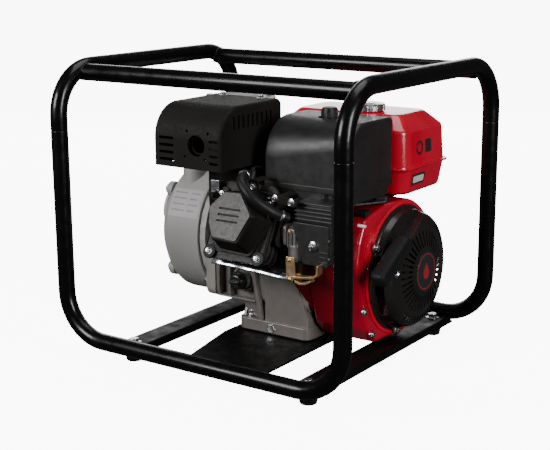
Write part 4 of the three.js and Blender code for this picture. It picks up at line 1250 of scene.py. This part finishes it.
def build_pump():
    left, right, radius = DRUM_LEFT, DRUM_RIGHT, DRUM_RADIUS
    shell = turned("x", [(left, 0), (left, 99), (left + 1, 102), (left + 3.5, 105.4), (left + 7, 107.4),
                         (left + 11, radius), (-150, radius), (-149, 107.4), (-140, 107.4), (-139, radius),
                         (right - 1, radius), (right, 107), (right, 0)], DRUM, 128)
    low = OUTLET_LOW - CLEAR
    riser = turned("z", [(208, 0), (208, 42), (250, 42), (262, 42.5), (264, 44), (320, 42), (336, 42),
                         (342, 45), (low - 5, 50), (low - 0.6, 50), (low, 49), (low, 0)], OUTLET, 80)
    boss = turned("z", [(230, 0), (230, 20), (266, 18), (274, 17), (276, 16), (276, 0)], PRIMING, 48)
    tools = [turned("x", [(-198, 0), (-198, 94), (-191, 103), (-120, 103), (-120, 0)], DRUM, 96),
             rod("z", DRUM[1], low + 5, BORE, OUTLET, 64),
             rod("x", left - 5, left + 20, BORE, (DRUM[0], INLET_Z), 64),
             rod("z", 200, 300, 11, PRIMING, 32)]
    casing = cut(union(shell, riser, boss), *tools)
    piece("pump_casing_shell", casing, "cast_silver", "chassis", "pump_casing", sharp=34)
    build_pump_cover()
    build_pump_label()
    build_outlet_flange()
    cap = turned("z", [(262, 0), (262, 10), (276.3, 10), (276.3, 17), (277.5, 18), (281, 18), (283, 16.5),
                       (283, 0)], PRIMING, 48)
    wrench = eased(prism("z", [(PRIMING[0] + x, PRIMING[1] + y) for x, y in hexagon(12)], 282, 288), 0.8)
    piece("priming_plug", union(cap, wrench), "black_plastic", "priming", "priming_cap")
    y, z = PUMP_DRAIN
    plug = eased(prism("x", [(y + a, z + b) for a, b in hexagon(8)], -215, -206), 0.6)
    stem = turned("x", [(-207, 0), (-207, 8.8), (-204, 8.8), (-203.3, 8.4), (-203.3, 6), (-195, 6),
                        (-195, 0)], PUMP_DRAIN, 40)
    piece("pump_drain_screw", union(plug, stem), "brass", "pump_drain", "pump_drain_plug")


def build_outlet_flange():
    low, top = OUTLET_LOW, OUTLET_TOP
    profile = [(low, BORE), (low, 59), (low + 1, 60), (top - 1, 60), (top, 59), (top, 52), (top - 1.2, 51),
               (top - 1.2, 47), (top, 46), (top, BORE)]
    places = around(4, 49, OUTLET, math.pi / 4)
    holes = [rod("z", 340, 380, 4, place, 20) for place in places]
    flange = cut(turned("z", profile, OUTLET, 96), *holes)
    piece("outlet_flange_ring", flange, "cast_silver", "chassis", "outlet_flange")
    gasket = ring("z", low - 0.4, low + 0.1, 36, 58, OUTLET, 64, 0.1)
    piece("outlet_gasket", gasket, "rubber", "chassis")
    screws = set_of(lambda: socket_screw(5.5, 5.6), [(*place, top) for place in places], (0, 0, 1))
    piece("outlet_screws", screws, "zinc", "chassis")


def build_pump_cover():
    right = DRUM_LEFT - CLEAR
    y, z = DRUM
    port = (y, INLET_Z)
    plate = turned("x", [(right - 10, 0), (right - 10, 91), (right - 8.6, 93.4), (right - 6, 94),
                         (right - 4, 94), (right - 3.4, 96.4), (right - 2.6, 97), (right, 97), (right, 0)],
                   DRUM, 96)
    step = rod("x", right - 18, right - 9, 60, port, 80, 1.6)
    threads = [(0, 0), (0, 41), (1, 42), (6, 42), (7, 40), (12, 40), (13, 42), (18, 42), (19, 40)]
    root = [(right - 18, 43), (right - 14, 50), (right - 12, 50), (right - 12, 0)]
    stub = turned("x", [(INLET_END + x, radius) for x, radius in threads] + root, port, 80)
    ears, spots = [], []
    for side in (-1, 1):
        for level in (-1, 1):
            centre = (y + side * 65, z + level * 65)
            ears.append(rod("x", right - 14, right - 3, 13, centre, 48, 1.2))
            spots.append((right - 14, *centre))
    holes = [rod("x", INLET_END - 5, right + 5, BORE, port, 64),
             rod("x", right - 40, right + 5, 12, PUMP_DRAIN, 32)]
    cover = cut(union(plate, step, stub, *ears), *holes)
    piece("inlet_cover_casting", cover, "cast_silver", "chassis", "inlet_cover", sharp=34)
    bolts("inlet_cover_bolts", (13, 7, 2.4), spots, (-1, 0, 0))
    gasket = ring("x", right - 0.6, right + 0.9, 94, 99, DRUM, 96, 0.3)
    piece("inlet_gasket", gasket, "rubber", "chassis")


def drum_patch(start, end, low, high, lift, thick):
    """A thin sheet wrapped on the drum between two angles, in degrees from +Y."""
    steps = 16
    outline = []
    inside = DRUM_RADIUS + lift
    for radius, order in ((inside + thick, range(steps + 1)), (inside, range(steps, -1, -1))):
        for k in order:
            angle = math.radians(start + (end - start) * k / steps)
            outline.append((DRUM[0] + radius * math.cos(angle), DRUM[1] + radius * math.sin(angle)))
    return prism("x", outline, low, high)


def build_pump_label():
    piece("pump_label", drum_patch(138, 163, -194, -134, 0.02, 0.2), "label", "chassis", sharp=60)
    bars = []
    for k in range(4):
        start = 141 + 5.2 * k
        bars.append(drum_patch(start, start + 1.4, -190, -166 + 3 * (k % 2), 0.2, 0.08))
        bars.append(drum_patch(start, start + 1.4, -158, -140 - 4 * (k % 2), 0.2, 0.08))
    piece("pump_label_bars", together(*bars), "grey_print", "chassis", sharp=60)


# ---------------------------------------------------------------- engine block
CYLINDER_X = 9
DECK, HEAD_TOP = 138, 197
TILT = math.radians(25)
SLANT = Matrix.Translation((CYLINDER_X, *CRANK)) @ Matrix.Rotation(math.pi / 2 - TILT, 4, "X")
case_low, case_high = span("crankcase")
CASE_LEFT, CASE_RIGHT = case_low[0], 74
oil_x, _, oil_z = middle("oil_filler_cap")
OIL_FILLER = (oil_x, oil_z - CRANK[1])
drain_x, _, drain_z = middle("oil_drain_bolt")
OIL_DRAIN = (drain_x, drain_z - CRANK[1])
BASE = {
    "left": -52, "right": case_high[0], "front": -31, "back": case_high[1], "low": case_low[2],
    "top": case_low[2] + 20,
}


def up_cylinder(made):
    """From cylinder coordinates, with +Z up the bore, to the row frame."""
    return moved(made, SLANT)


def case_outline(grow=0.0):
    left, low = -104 - grow, -66 - grow
    return rounded([(left, low, 14), (74 + grow, low, 14), (84 + grow, 20, 20), (58, 72 + grow, 24),
                    (-20, 88 + grow, 24), (-70, 62 + grow, 20), (left, 10, 20)], 8)


def build_crankcase():
    b = BASE
    outline = rectangle(b["left"], b["right"], b["front"], b["back"], 15, 8)
    base = eased(prism("z", outline, b["low"], b["top"]), 2.2, 3)
    pedestal = block(b["left"] + 4, b["right"] - 6, b["front"] + 6, b["back"] - 8, b["low"] + 2, 95)
    body = about_crank(prism("x", case_outline(-1.2), CASE_LEFT + 7, CASE_RIGHT))
    joint = about_crank(eased(prism("x", case_outline(), CASE_LEFT, CASE_LEFT + 8), 1.2, 2))
    barrel = up_cylinder(rod("z", 50, DECK, 43, sides=64))
    fins = [up_cylinder(eased(prism("z", rectangle(-50, 50, -50, 50, 10), s, s + 3.2), 0.9))
            for s in (84, 97.5, 111, 124.5)]
    deck = up_cylinder(eased(prism("z", rectangle(-46, 46, -46, 46, 12), 131, DECK), 1))
    boss = about_crank(turned("y", [(-118, 0), (-118, 13), (-116, 13.6), (-98, 16), (-88, 20), (-88, 0)],
                              OIL_FILLER, 48))
    # The broad front wall, its right edge running down and out to the base.
    front = [(-3, 152), (36, 148), (45, 140), (76, 58), (76, 42), (-3, 42)]
    wing = prism("y", [(z, x) for x, z in rounded([(x, z, 4) for x, z in front])], -34.5, 20)
    tools = [about_crank(rod("x", CASE_LEFT - 1, CASE_RIGHT - 14, 58, sides=64)),
             up_cylinder(rod("z", 0, DECK + 1, 34, sides=64)),
             about_crank(rod("x", 0, CASE_RIGHT + 20, 15.5, sides=40)),
             about_crank(rod("y", -130, -40, 9, OIL_FILLER, 32)),
             about_crank(rod("y", -110, -88, 5, OIL_DRAIN, 24))]
    pocket = block(-90, -26, -45, -24, 77, 130)
    pocketed = cut(union(base, pedestal, body, joint), pocket)
    solid = union(pocketed, barrel, deck, boss, wing, *fins)
    casing = cut(solid, *tools)
    piece("crankcase_casting", eased(casing, 0.9, 2, 50), "cast_grey", "chassis", "crankcase", sharp=40)
    build_case_ribs()
    build_side_cover()
    build_base_bolts()


def build_case_ribs():
    """Webs cast on the front of the case and over the base."""
    ribs = [prism("y", [(148, -24), (148, -19), (110, -17), (70, -9.5), (48, -6), (48, -12), (70, -15.5),
                        (110, -23)], -40, -25)]
    for x in (-69, -90):
        ribs.append(block(x - 1.5, x + 1.5, -37, -22, 74, 148))
    for z in (75, 130):
        ribs.append(block(-91, -20, -37.2, -25, z - 1.5, z + 1.5))
    halo = [(-37.5, 16.6), (-37.5, 20), (-23, 23), (-23, 16.6)]
    ribs.append(turned("y", halo, (oil_x, oil_z), 48))
    piece("crankcase_ribs", together(*[eased(rib, 0.8) for rib in ribs]), "cast_grey", "chassis")
    web = [(-24, 47), (-30, 47), (-14, 84), (-8, 84)]
    webs = [eased(prism("x", web, x - 2.5, x + 2.5), 0.8) for x in (-46, 71)]
    piece("base_webs", together(*webs), "cast_grey", "chassis")
    outline = rectangle(BASE["left"] - 0.4, BASE["right"] + 0.4, -38.5, 20, 12, 8)
    ledge = prism("z", outline, 29, BASE["top"] + 0.4)
    piece("base_ledge", eased(ledge, 1.6, 3), "cast_grey", "chassis")


def build_side_cover():
    right = CASE_LEFT - CLEAR
    plate = about_crank(prism("x", case_outline(), right - 20, right))
    plate = eased(plate, 2.4, 3)
    recess = about_crank(rod("x", right - 12, right + 1, 56, sides=64))
    hole = about_crank(rod("x", -140, -80, 15.5, sides=40))
    piece("side_cover_casting", cut(plate, recess, hole), "bare_cast", "chassis", "side_cover", sharp=34)
    outline = case_outline(-9)
    count = 7
    bosses, spots = [], []
    for k in range(count):
        y, z = outline[int(k * len(outline) / count)]
        place = (y + CRANK[0], z + CRANK[1])
        # The back plate of the pump covers the bosses that are nearer than this.
        if math.dist(place, DRUM) > 104 + 9:
            bosses.append(rod("x", right - 21.5, right - 15, 8, place, 32, 0.8))
            spots.append((right - 21.5, *place))
    piece("side_cover_bosses", together(*bosses), "bare_cast", "chassis")
    bolts("side_cover_bolts", (10, 5.5, 2), spots, (-1, 0, 0))
    seam = about_crank(prism("x", case_outline(0.35), CASE_LEFT - 0.9, CASE_LEFT + 0.6))
    hollow = about_crank(prism("x", case_outline(-6), CASE_LEFT - 3, CASE_LEFT + 3))
    piece("side_cover_gasket", cut(seam, hollow), "rubber", "chassis")


def build_base_bolts():
    b = BASE
    places = [(x, y) for x in (b["left"] + 15, b["right"] - 13) for y in (b["front"] + 11, b["back"] - 12)]
    top = b["top"] + 1.6
    washers = [rod("z", b["top"], top, 9.5, place, 40, 0.3) for place in places]
    piece("base_washers", together(*washers), "zinc", "chassis")
    bolts("base_bolts", (13, 7.5, 2), [(*place, top) for place in places], (0, 0, 1))
    build_oil_plugs()


def build_oil_plugs():
    cap = turned("y", [(-130, 0), (-130, 8), (-129, 10.6), (-127, 12), (-119.6, 13), (-118.3, 13),
                       (-118.3, 8.4), (-98, 8.4), (-98, 0)], OIL_FILLER, 48)
    x, z = OIL_FILLER
    grips = [rod("y", -134, -121, 2.4, spot, 16) for spot in around(8, 14, OIL_FILLER)]
    bar = eased(block(x - 9, x + 9, -133.5, -129, z - 2, z + 2), 1)
    piece("oil_filler_plug", about_crank(together(cut(cap, *grips), bar)), "gloss_plastic", "oil_cap",
          "oil_filler_cap", sharp=50)
    seat = about_crank(ring("y", -118.2, -116.4, 9, 14.6, OIL_FILLER, 40, 0.4))
    piece("oil_filler_seal", seat, "rubber", "chassis")
    washer = about_crank(ring("y", -101.25, -100.2, 5.2, 11, OIL_DRAIN, 40, 0.2))
    head = moved(bolt_head(14, 7.6, 1.6, 0.1), facing((0, -1, 0), (drain_x, -31.6, drain_z)))
    stem = rod("y", -32, -21, 4.6, (drain_x, drain_z), 24)
    piece("oil_drain_screw", together(head, stem), "zinc", "oil_drain", "oil_drain_bolt")
    piece("oil_drain_washer", washer, "zinc", "chassis")


def build_head():
    bottom = DECK + CLEAR
    block_part = prism("z", rectangle(-42, 42, -44, 44, 10), bottom, HEAD_TOP)
    fin = rectangle(-46, 46, -52, 52, 10)
    fins = [eased(prism("z", fin, s, s + 3.2), 0.9) for s in (142, 154, 166, 178)]
    top = eased(prism("z", rectangle(-50, 50, -58, 58, 14), HEAD_TOP - 7, HEAD_TOP), 1)
    intake = prism("x", rectangle(-22, 22, 152, 178, 8), 38, 52.4)
    exhaust = prism("x", rectangle(-18, 22, 148, 178, 8), -46.4, -38)
    tools = [rod("x", 20, 60, 9, (0, 165), 32), rod("x", -60, -10, 9, (4, 164), 32),
             rod("z", bottom - 1, bottom + 10, 26, sides=48), rod("y", 20, 60, 5.6, (-22, 170), 24)]
    head = cut(union(block_part, top, intake, exhaust, *fins), *tools)
    piece("cylinder_head_casting", up_cylinder(head), "dark_cast", "chassis", "cylinder_head")
    gasket = prism("z", rectangle(-44, 44, -46, 46, 12), DECK - 0.1, DECK + 0.4)
    bore = rod("z", DECK - 1, DECK + 1, 35, sides=48)
    piece("head_gasket", up_cylinder(cut(gasket, bore)), "dark_steel", "chassis")


COVER_FACE = [(-13, 34), (-33, 10), (-28, -15), (-16, -35), (27, -37), (42, 5), (16, 35)]
COVER_BOLTS = [(-40, -50), (46, -50), (46, 37), (-40, 37)]


def face_ring(factor, soften):
    """The rocker cover's seven-sided outline at a size, its corners rounded."""
    return rounded([(x, y, soften) for x, y in scaled(COVER_FACE, factor, (4, 0))], 6)


def build_valve_cover():
    low = HEAD_TOP + CLEAR
    plate = prism("z", rounded([(-36, -48, 12), (42, -48, 12), (48, 0, 30), (42, 42, 12), (-36, 42, 12),
                                (-46, 0, 30)], 8), low, low + 4)
    lobes = [rod("z", low, low + 5.4, 10.5, spot, 40, 0.8) for spot in COVER_BOLTS]
    rim = prism("z", face_ring(1.34, 10), low, low + 8)
    flange = eased(union(plate, rim, *lobes), 0.9, 2, 50)
    dome = [(1.27, 9, low + 6), (1.23, 9, low + 12), (1.15, 8, 222), (1.10, 7, 229), (1.05, 6, 233.4),
            (1.0, 5.5, 235)]
    sections = [(face_ring(factor, soften), z) for factor, soften, z in dome]
    hollow = rod("z", low - 1, low + 3, 30, sides=32)
    body = together(cut(flange, hollow), loft(sections))
    piece("valve_cover_body", up_cylinder(body), "cover_black", "chassis", "valve_cover", sharp=42)
    face = eased(prism("z", face_ring(0.965, 5), 234.5, 237.4), 0.6, 2)
    levels = (-9, 0, 9)
    grooves = [prism("z", rectangle(-15, 23, y - 1.6, y + 1.6, 1.5), 235.1, 240) for y in levels]
    piece("valve_cover_face", up_cylinder(cut(face, *grooves)), "face_cast", "chassis")
    inlay = [prism("z", rectangle(-14.9, 22.9, y - 1.5, y + 1.5, 1.4), 234.8, 235.4) for y in levels]
    piece("valve_cover_grooves", up_cylinder(together(*inlay)), "cover_black", "chassis")
    spots = [(x, y, low + 5.4) for x, y in COVER_BOLTS]
    bolts("valve_cover_bolts", (7, 5, 1.4), spots, (0, 0, 1), up_cylinder)
    gasket = prism("z", rounded([(-38, -52, 12), (44, -52, 12), (51, 0, 30), (44, 52, 12), (-38, 52, 12),
                                 (-49, 0, 30)], 8), low - 0.35, low + 0.5)
    piece("valve_cover_gasket", up_cylinder(gasket), "rubber", "chassis")


def build_deflector():
    """The bright sheet under the rocker cover that turns the cooling air."""
    waves = [(-46, -103.0, 158.6), (-31, -104.5, 158.4), (-9, -102.2, 156.0), (18, -103.8, 154.4),
             (44, -100.4, 151.4), (68, -101.6, 149.2), (88, -98.4, 146.6)]
    across = [(2.5, 3.5), (-2, 1.5), (-6, -2.5), (-8.5, -7.5), (-8.5, -10)]
    made = bmesh.new()
    rows = []
    route = smooth_path(waves, 6)
    for k, p in enumerate(route):
        taper = 1 - 0.5 * k / (len(route) - 1)
        rows.append([made.verts.new((p.x, p.y + dy * taper, p.z + dz * taper)) for dy, dz in across])
    for a, b in zip(rows, rows[1:]):
        for k in range(len(across) - 1):
            made.faces.new((a[k], b[k], b[k + 1], a[k + 1]))
    bmesh.ops.recalc_face_normals(made, faces=made.faces)
    bmesh.ops.solidify(made, geom=made.faces[:], thickness=1.2)
    bmesh.ops.recalc_face_normals(made, faces=made.faces)
    piece("air_deflector", made, "bright_sheet", "chassis")


# ---------------------------------------------------------------- carburettor, controls and leads
CARB = (*middle("float_bowl")[:2], 203)
BOWL_LOW, BOWL_TOP = (corner[2] for corner in span("float_bowl"))
elbow_low, elbow_high = span("intake_elbow")


def strip(stations, width, thick, front):
    """A bent strip seen from the front: stations are (x, z) along its middle."""
    path = [Vector(s) for s in stations]
    sides = []
    for k, here in enumerate(path):
        along = (path[min(k + 1, len(path) - 1)] - path[max(k - 1, 0)]).normalized()
        sides.append((here, Vector((-along.y, along.x)) * thick / 2))
    outline = [tuple(p + n) for p, n in sides] + [tuple(p - n) for p, n in sides[::-1]]
    return prism("y", [(z, x) for x, z in outline], front, front + width)


def build_carburettor():
    x, y, z = CARB
    flange = [(y - 13, z - 15, 5), (y + 22, z - 15, 5), (y + 22, z + 15, 5), (y - 13, z + 15, 5)]
    parts = [eased(block(x - 13, x + 13, y - 9, y + 18, 188, 213), 2),
             rod("x", 62, x + 17, 14, (y + 5, z), 48, 1)]
    for left in (x - 17, x + 13):
        parts.append(eased(prism("x", rounded(flange), left, left + 4), 0.8))
    for k in range(4):
        parts.append(eased(block(x - 12 + 6.4 * k, x - 9.6 + 6.4 * k, y - 11, y - 8, 186, 208), 0.7))
    parts.append(rod("z", 166, 190, 14, (x, y), 40, 1))
    parts.append(rod("z", 212, 219, 6, (x, y + 4), 32, 1))
    body = cut(union(*parts), rod("x", 57, 120, 9, (y + 5, z), 40))
    piece("carburettor_casting", body, "raw_casting", "chassis", "carburettor", sharp=34)
    screws = [(x + 8, y - 9, z + 4), (x - 8, y - 9, z + 6)]
    piece("carburettor_screws", set_of(lambda: pan_screw(3.4, 2.6), screws, (0, -1, 0)), "brass", "chassis")
    profile = [(BOWL_LOW, 0), (BOWL_LOW, 5), (140, 5.6), (142.4, 11), (144.6, 15.6), (147, 17.4), (150, 18),
               (162, 18), (163, 18.4), (BOWL_TOP, 18.4), (BOWL_TOP, 0)]
    bowl = turned("z", profile, (x, y), 64)
    # The bowl's darkened brass is painted shade.
    piece("float_bowl_pressing", bowl, "brass_painted_shade", "chassis", "float_bowl")
    nut = moved(bolt_head(9, 4.5, 1.4, 0.2), facing((0, 0, -1), (x, y, BOWL_LOW)))
    drain = moved(bolt_head(7, 4, 1.2, 0.5), facing((0.5, -0.75, -0.35), (x + 9, y - 14, 147)))
    piece("float_bowl_bolts", together(nut, drain), "brass", "chassis")
    seal = ring("z", 165.2, 166.8, 12, 18, (x, y))
    piece("float_bowl_seal", seal, "rubber", "chassis")
    build_carburettor_bracket()
    spacer = up_cylinder(eased(prism("x", rectangle(-24, 24, 150, 180, 8), 52.6, 55.4), 0.5))
    piece("intake_spacer", spacer, "black_plastic", "chassis")


def build_carburettor_bracket():
    """The bracket in front of the bowl, bent from yellow-passivated strip."""
    y = CARB[1]
    outline = [(176, 82), (176, 97), (150, 99), (140, 93), (148, 83)]
    upright = eased(prism("y", outline, y - 23, y - 21.4), 0.5)
    bent = [(95, 147), (104, 148.4), (118, 149.6), (131, 152.5), (136, 157), (137, 170)]
    arm = strip(bent, 13, 3.4, y - 25)
    lower = strip([(99, 142), (106, 139.5), (116, 141), (126, 146)], 11, 3.2, y - 25)
    piece("carburettor_bracket", together(upright, eased(arm, 0.4), eased(lower, 0.4)), "brass", "chassis")
    fixings = [(88, y - 23, 172), (89, y - 23, 144)]
    piece("bracket_screws", set_of(lambda: pan_screw(3.6, 2.6), fixings, (0, -1, 0)), "brass", "chassis")


def build_elbow():
    left, low, right, top = elbow_low[0], elbow_low[2], elbow_high[0], elbow_high[2]
    outline = rounded([(left + 1, low, 3), (left, top, 2), (right, top, 2), (right, low, 6)])
    panel = eased(prism("y", [(z, x) for x, z in outline], elbow_low[1], elbow_high[1]), 2, 3)
    cheek = rounded([(left, low + 0.5, 3), (left - 15, 214, 5), (left - 17, top, 1), (right - 1, top, 1),
                     (right - 1, low + 0.5, 5)])
    front = eased(prism("y", [(z, x) for x, z in cheek], -94.4, -89.8), 1.2, 2)
    throat = rod("x", left - 20, 124, 10, (CARB[1] + 5, CARB[2]), 32)
    elbow = union(cut(panel, throat), front)
    piece("intake_elbow_moulding", elbow, "black_plastic", "chassis", "intake_elbow")
    place = (124, 195)
    nut = moved(bolt_head(9, 5.5, 2.2), facing((0, -1, 0), (place[0], -96, place[1])))
    stud = rod("y", -105, -93, 2.6, place, 24, 0.5)
    piece("elbow_nut", together(nut, stud), "zinc", "chassis")
    boss = turned("y", [(-96, 0), (-96, 8), (-95, 9), (-94, 9.6), (-94, 0)], place, 40)
    piece("elbow_boss", boss, "black_plastic", "chassis")
    lines = [eased(block(134, 148, -95.2, -93, 172 + 7 * k, 174 + 7 * k), 0.4) for k in range(3)]
    piece("elbow_ribs", together(*lines), "black_plastic", "chassis")


def build_controls():
    plate_top = 242.5
    shelf = cut(block(132, 164, 14, 50, 239.6, plate_top), rod("z", 230, 250, 3, (156, 40), 24))
    tongue = block(132, 144, -34, 15, 240, plate_top)
    plate = together(eased(shelf, 0.5), eased(tongue, 0.5))
    piece("control_plate", plate, "black_sheet", "chassis", "control_bracket")
    low = plate_top + CLEAR
    pivot = (141, -22)
    arm = rounded([(-8, -7, 5), (8, -7, 5), (36, 42, 4), (30, 52, 4), (22, 46, 3), (-8, 7, 5)])
    lever = eased(prism("z", [(pivot[0] + x, pivot[1] + y) for x, y in arm], low, low + 3.4), 0.9)
    pad = rounded([(158, 12, 3), (175, 22, 3), (170, 34, 4), (158, 27, 3)])
    thumb = eased(prism("z", pad, low + 1, low + 7.5), 1.4, 3)
    piece("throttle_arm", together(lever, thumb), "black_plastic", "throttle", "throttle_lever")
    nut = moved(bolt_head(10, 4, 1.5), facing((0, 0, 1), (*pivot, low + 3.4)))
    piece("throttle_pivot_nut", nut, "zinc", "throttle")
    for name in ("choke", "fuel_valve"):
        z = middle(f"{name}_lever")[2]
        knuckle = turned("x", [(150.3, 0), (150.3, 5), (155, 5), (156, 4), (156, 0)], (-74, z), 32)
        upper = [(-102, 4, 3), (-96, 3.6, 1.5), (-74, 3, 1)]
        outline = [(y, z - half, radius) for y, half, radius in upper[::-1]]
        outline += [(y, z + half, radius) for y, half, radius in upper]
        handle = eased(prism("x", rounded(outline), 152, 156), 0.9)
        piece(f"{name}_arm", together(knuckle, handle), "black_plastic", name, f"{name}_lever")
    slope = math.atan2(16, 54)
    seat = Matrix.Translation((158, -14, 229.6)) @ Matrix.Rotation(slope, 4, "X")
    outline = rounded([(-9, 0, 0), (9, 0, 0), (9, 5, 2), (0, 6.4, 8), (-9, 8, 2)])
    rocker = moved(eased(prism("x", outline, -8, 8), 0.8), seat)
    piece("switch_rocker", rocker, "black_plastic", "switch", "engine_switch")
    build_governor_bracket()
    build_hoses()


def build_governor_bracket():
    start, end = Vector((36, -104, 261.4)), Vector((96, -104, 255.4))
    along = (end - start).normalized()
    lean = math.atan2(-along.z, along.x)
    length = (end - start).length
    outline = rectangle(-7, length + 7, -6, 6, 5)
    bar = prism("y", [(z, x) for x, z in outline], -1.2, 1.2)
    slot = prism("y", [(z, x) for x, z in rectangle(10, 22, -2.6, 2.6, 2.4)], -5, 5)
    bar = cut(bar, slot)
    place = Matrix.Translation(start) @ Matrix.Rotation(lean, 4, "Y")
    piece("governor_bar", moved(eased(bar, 0.5), place), "black_sheet", "chassis")
    spots = [(66, -105.2, 258.4), (94, -105.2, 255.6), (26, -101.4, 271)]
    bolts("governor_bar_bolts", (7, 4.5, 1.4), spots, (0, -1, 0))
    ends = ((66, 258.4, -58), (94, 255.6, -88))
    posts = [rod("y", -102.6, back, 4, (x, z), 24, 0.5) for x, z, back in ends]
    tab = eased(block(17, 35, -101.2, -99.6, 262, 280), 0.5)
    foot = eased(block(17, 35, -101.2, -66, 278.6, 280.2), 0.5)
    piece("governor_bar_posts", together(*posts, tab, foot), "black_sheet", "chassis")


def build_hoses():
    route = [(14, -104, 288), (24, -128, 282), (46, -134, 263), (68, -117, 242), (81, -95, 230)]
    hose = tube(smooth_path(route, 12), 7.2, 28)
    piece("breather_tube", hose, "rubber", "chassis", "breather_hose", sharp=60)
    seats = [facing((0.35, -0.9, -0.15), (17, -111.5, 287.2)),
             facing((0.46, 0.75, -0.46), (76, -104.5, 235))]
    clips = [moved(ring("z", -2, 2, 7.2, 8.4), seat) for seat in seats]
    piece("breather_clips", together(*clips), "zinc", "chassis")
    lead = [(-13, -49, 281), (-13, -41, 285), (-6, -31, 278), (0, -25, 256), (14, -22, 242), (40, -22, 239),
            (66, -24, 237), (90, -26, 232)]
    piece("ignition_lead", tube(smooth_path(lead), 3.5, 16), "rubber", "chassis", "plug_lead", sharp=60)
    build_spark_plug()


def build_spark_plug():
    axis = Vector((0, math.sin(TILT), math.cos(TILT)))
    seat = facing(axis, SLANT @ Vector((-22, 52, 170)))
    shell = turned("z", [(0.3, 0), (0.3, 9), (5, 9), (6, 7.6), (10, 7.6), (10, 5), (16, 4.6), (22, 4),
                         (26, 4), (26, 0)], sides=40)
    plug = together(shell, prism("z", hexagon(9.8), 2, 8), rod("z", -16, 0.3, 5, sides=24))
    piece("spark_plug_body", moved(plug, seat), "zinc", "chassis", "spark_plug")
    boot = turned("z", [(12, 5.2), (12, 8.6), (14, 9), (17, 8.2), (28, 8.6), (33, 7.4), (35, 5), (35, 3.4)],
                  sides=40)
    piece("spark_plug_boot", moved(boot, seat), "rubber", "chassis")
    # The bright lifting bracket beside the rocker cover.
    strap = eased(block(-52, -37, -101, -99.4, 244, 272), 0.5)
    foot_tab = eased(block(-52, -37, -101, -84, 271, 272.6), 0.5)
    piece("lifting_bracket", together(strap, foot_tab), "zinc", "chassis")
    tip = turned("y", [(-112, 0), (-112, 4), (-110.6, 5.6), (-102, 6), (-101, 7), (-101, 0)], (-44, 252), 32)
    piece("bracket_cap", tip, "rubber", "chassis")


# ---------------------------------------------------------------- start
def dress_inner_nodes():
    """CAD nodes that keep their own shape."""
    finishes = {
        "piston": "raw_casting", "connecting_rod": "cast_grey", "rod_big_end": "cast_grey",
        "crankshaft": "steel", "starter_cup": "steel", "flywheel_fan": "raw_casting",
        "shaft_seal": "rubber", "check_valve_flap": "rubber", "volute": "iron", "impeller": "iron",
        "ignition_coil": "black_plastic", "air_filter_element": "foam", "recoil_pulley": "black_plastic",
        "pump_back_plate": "cast_silver",
    }
    for node, finish in finishes.items():
        dress(node, finish)


def build_floor():
    made = bmesh.new()
    bmesh.ops.create_grid(made, x_segments=8, y_segments=8, size=30)
    mesh = bpy.data.meshes.new("floor")
    made.to_mesh(mesh)
    made.free()
    floor = bpy.data.objects.new("floor", mesh)
    bpy.context.scene.collection.objects.link(floor)
    mesh.materials.append(floor_material())
    floor.visible_glossy = False
    floor.visible_diffuse = False


build_camera()
build_light()
build_floor()
build_frame()
build_shroud()
build_recoil_cover()
build_recoil_handle()
build_tank()
build_cleaner()
build_exhaust()
build_pump()
build_crankcase()
build_head()
build_valve_cover()
build_deflector()
build_carburettor()
build_elbow()
build_controls()
dress_inner_nodes()
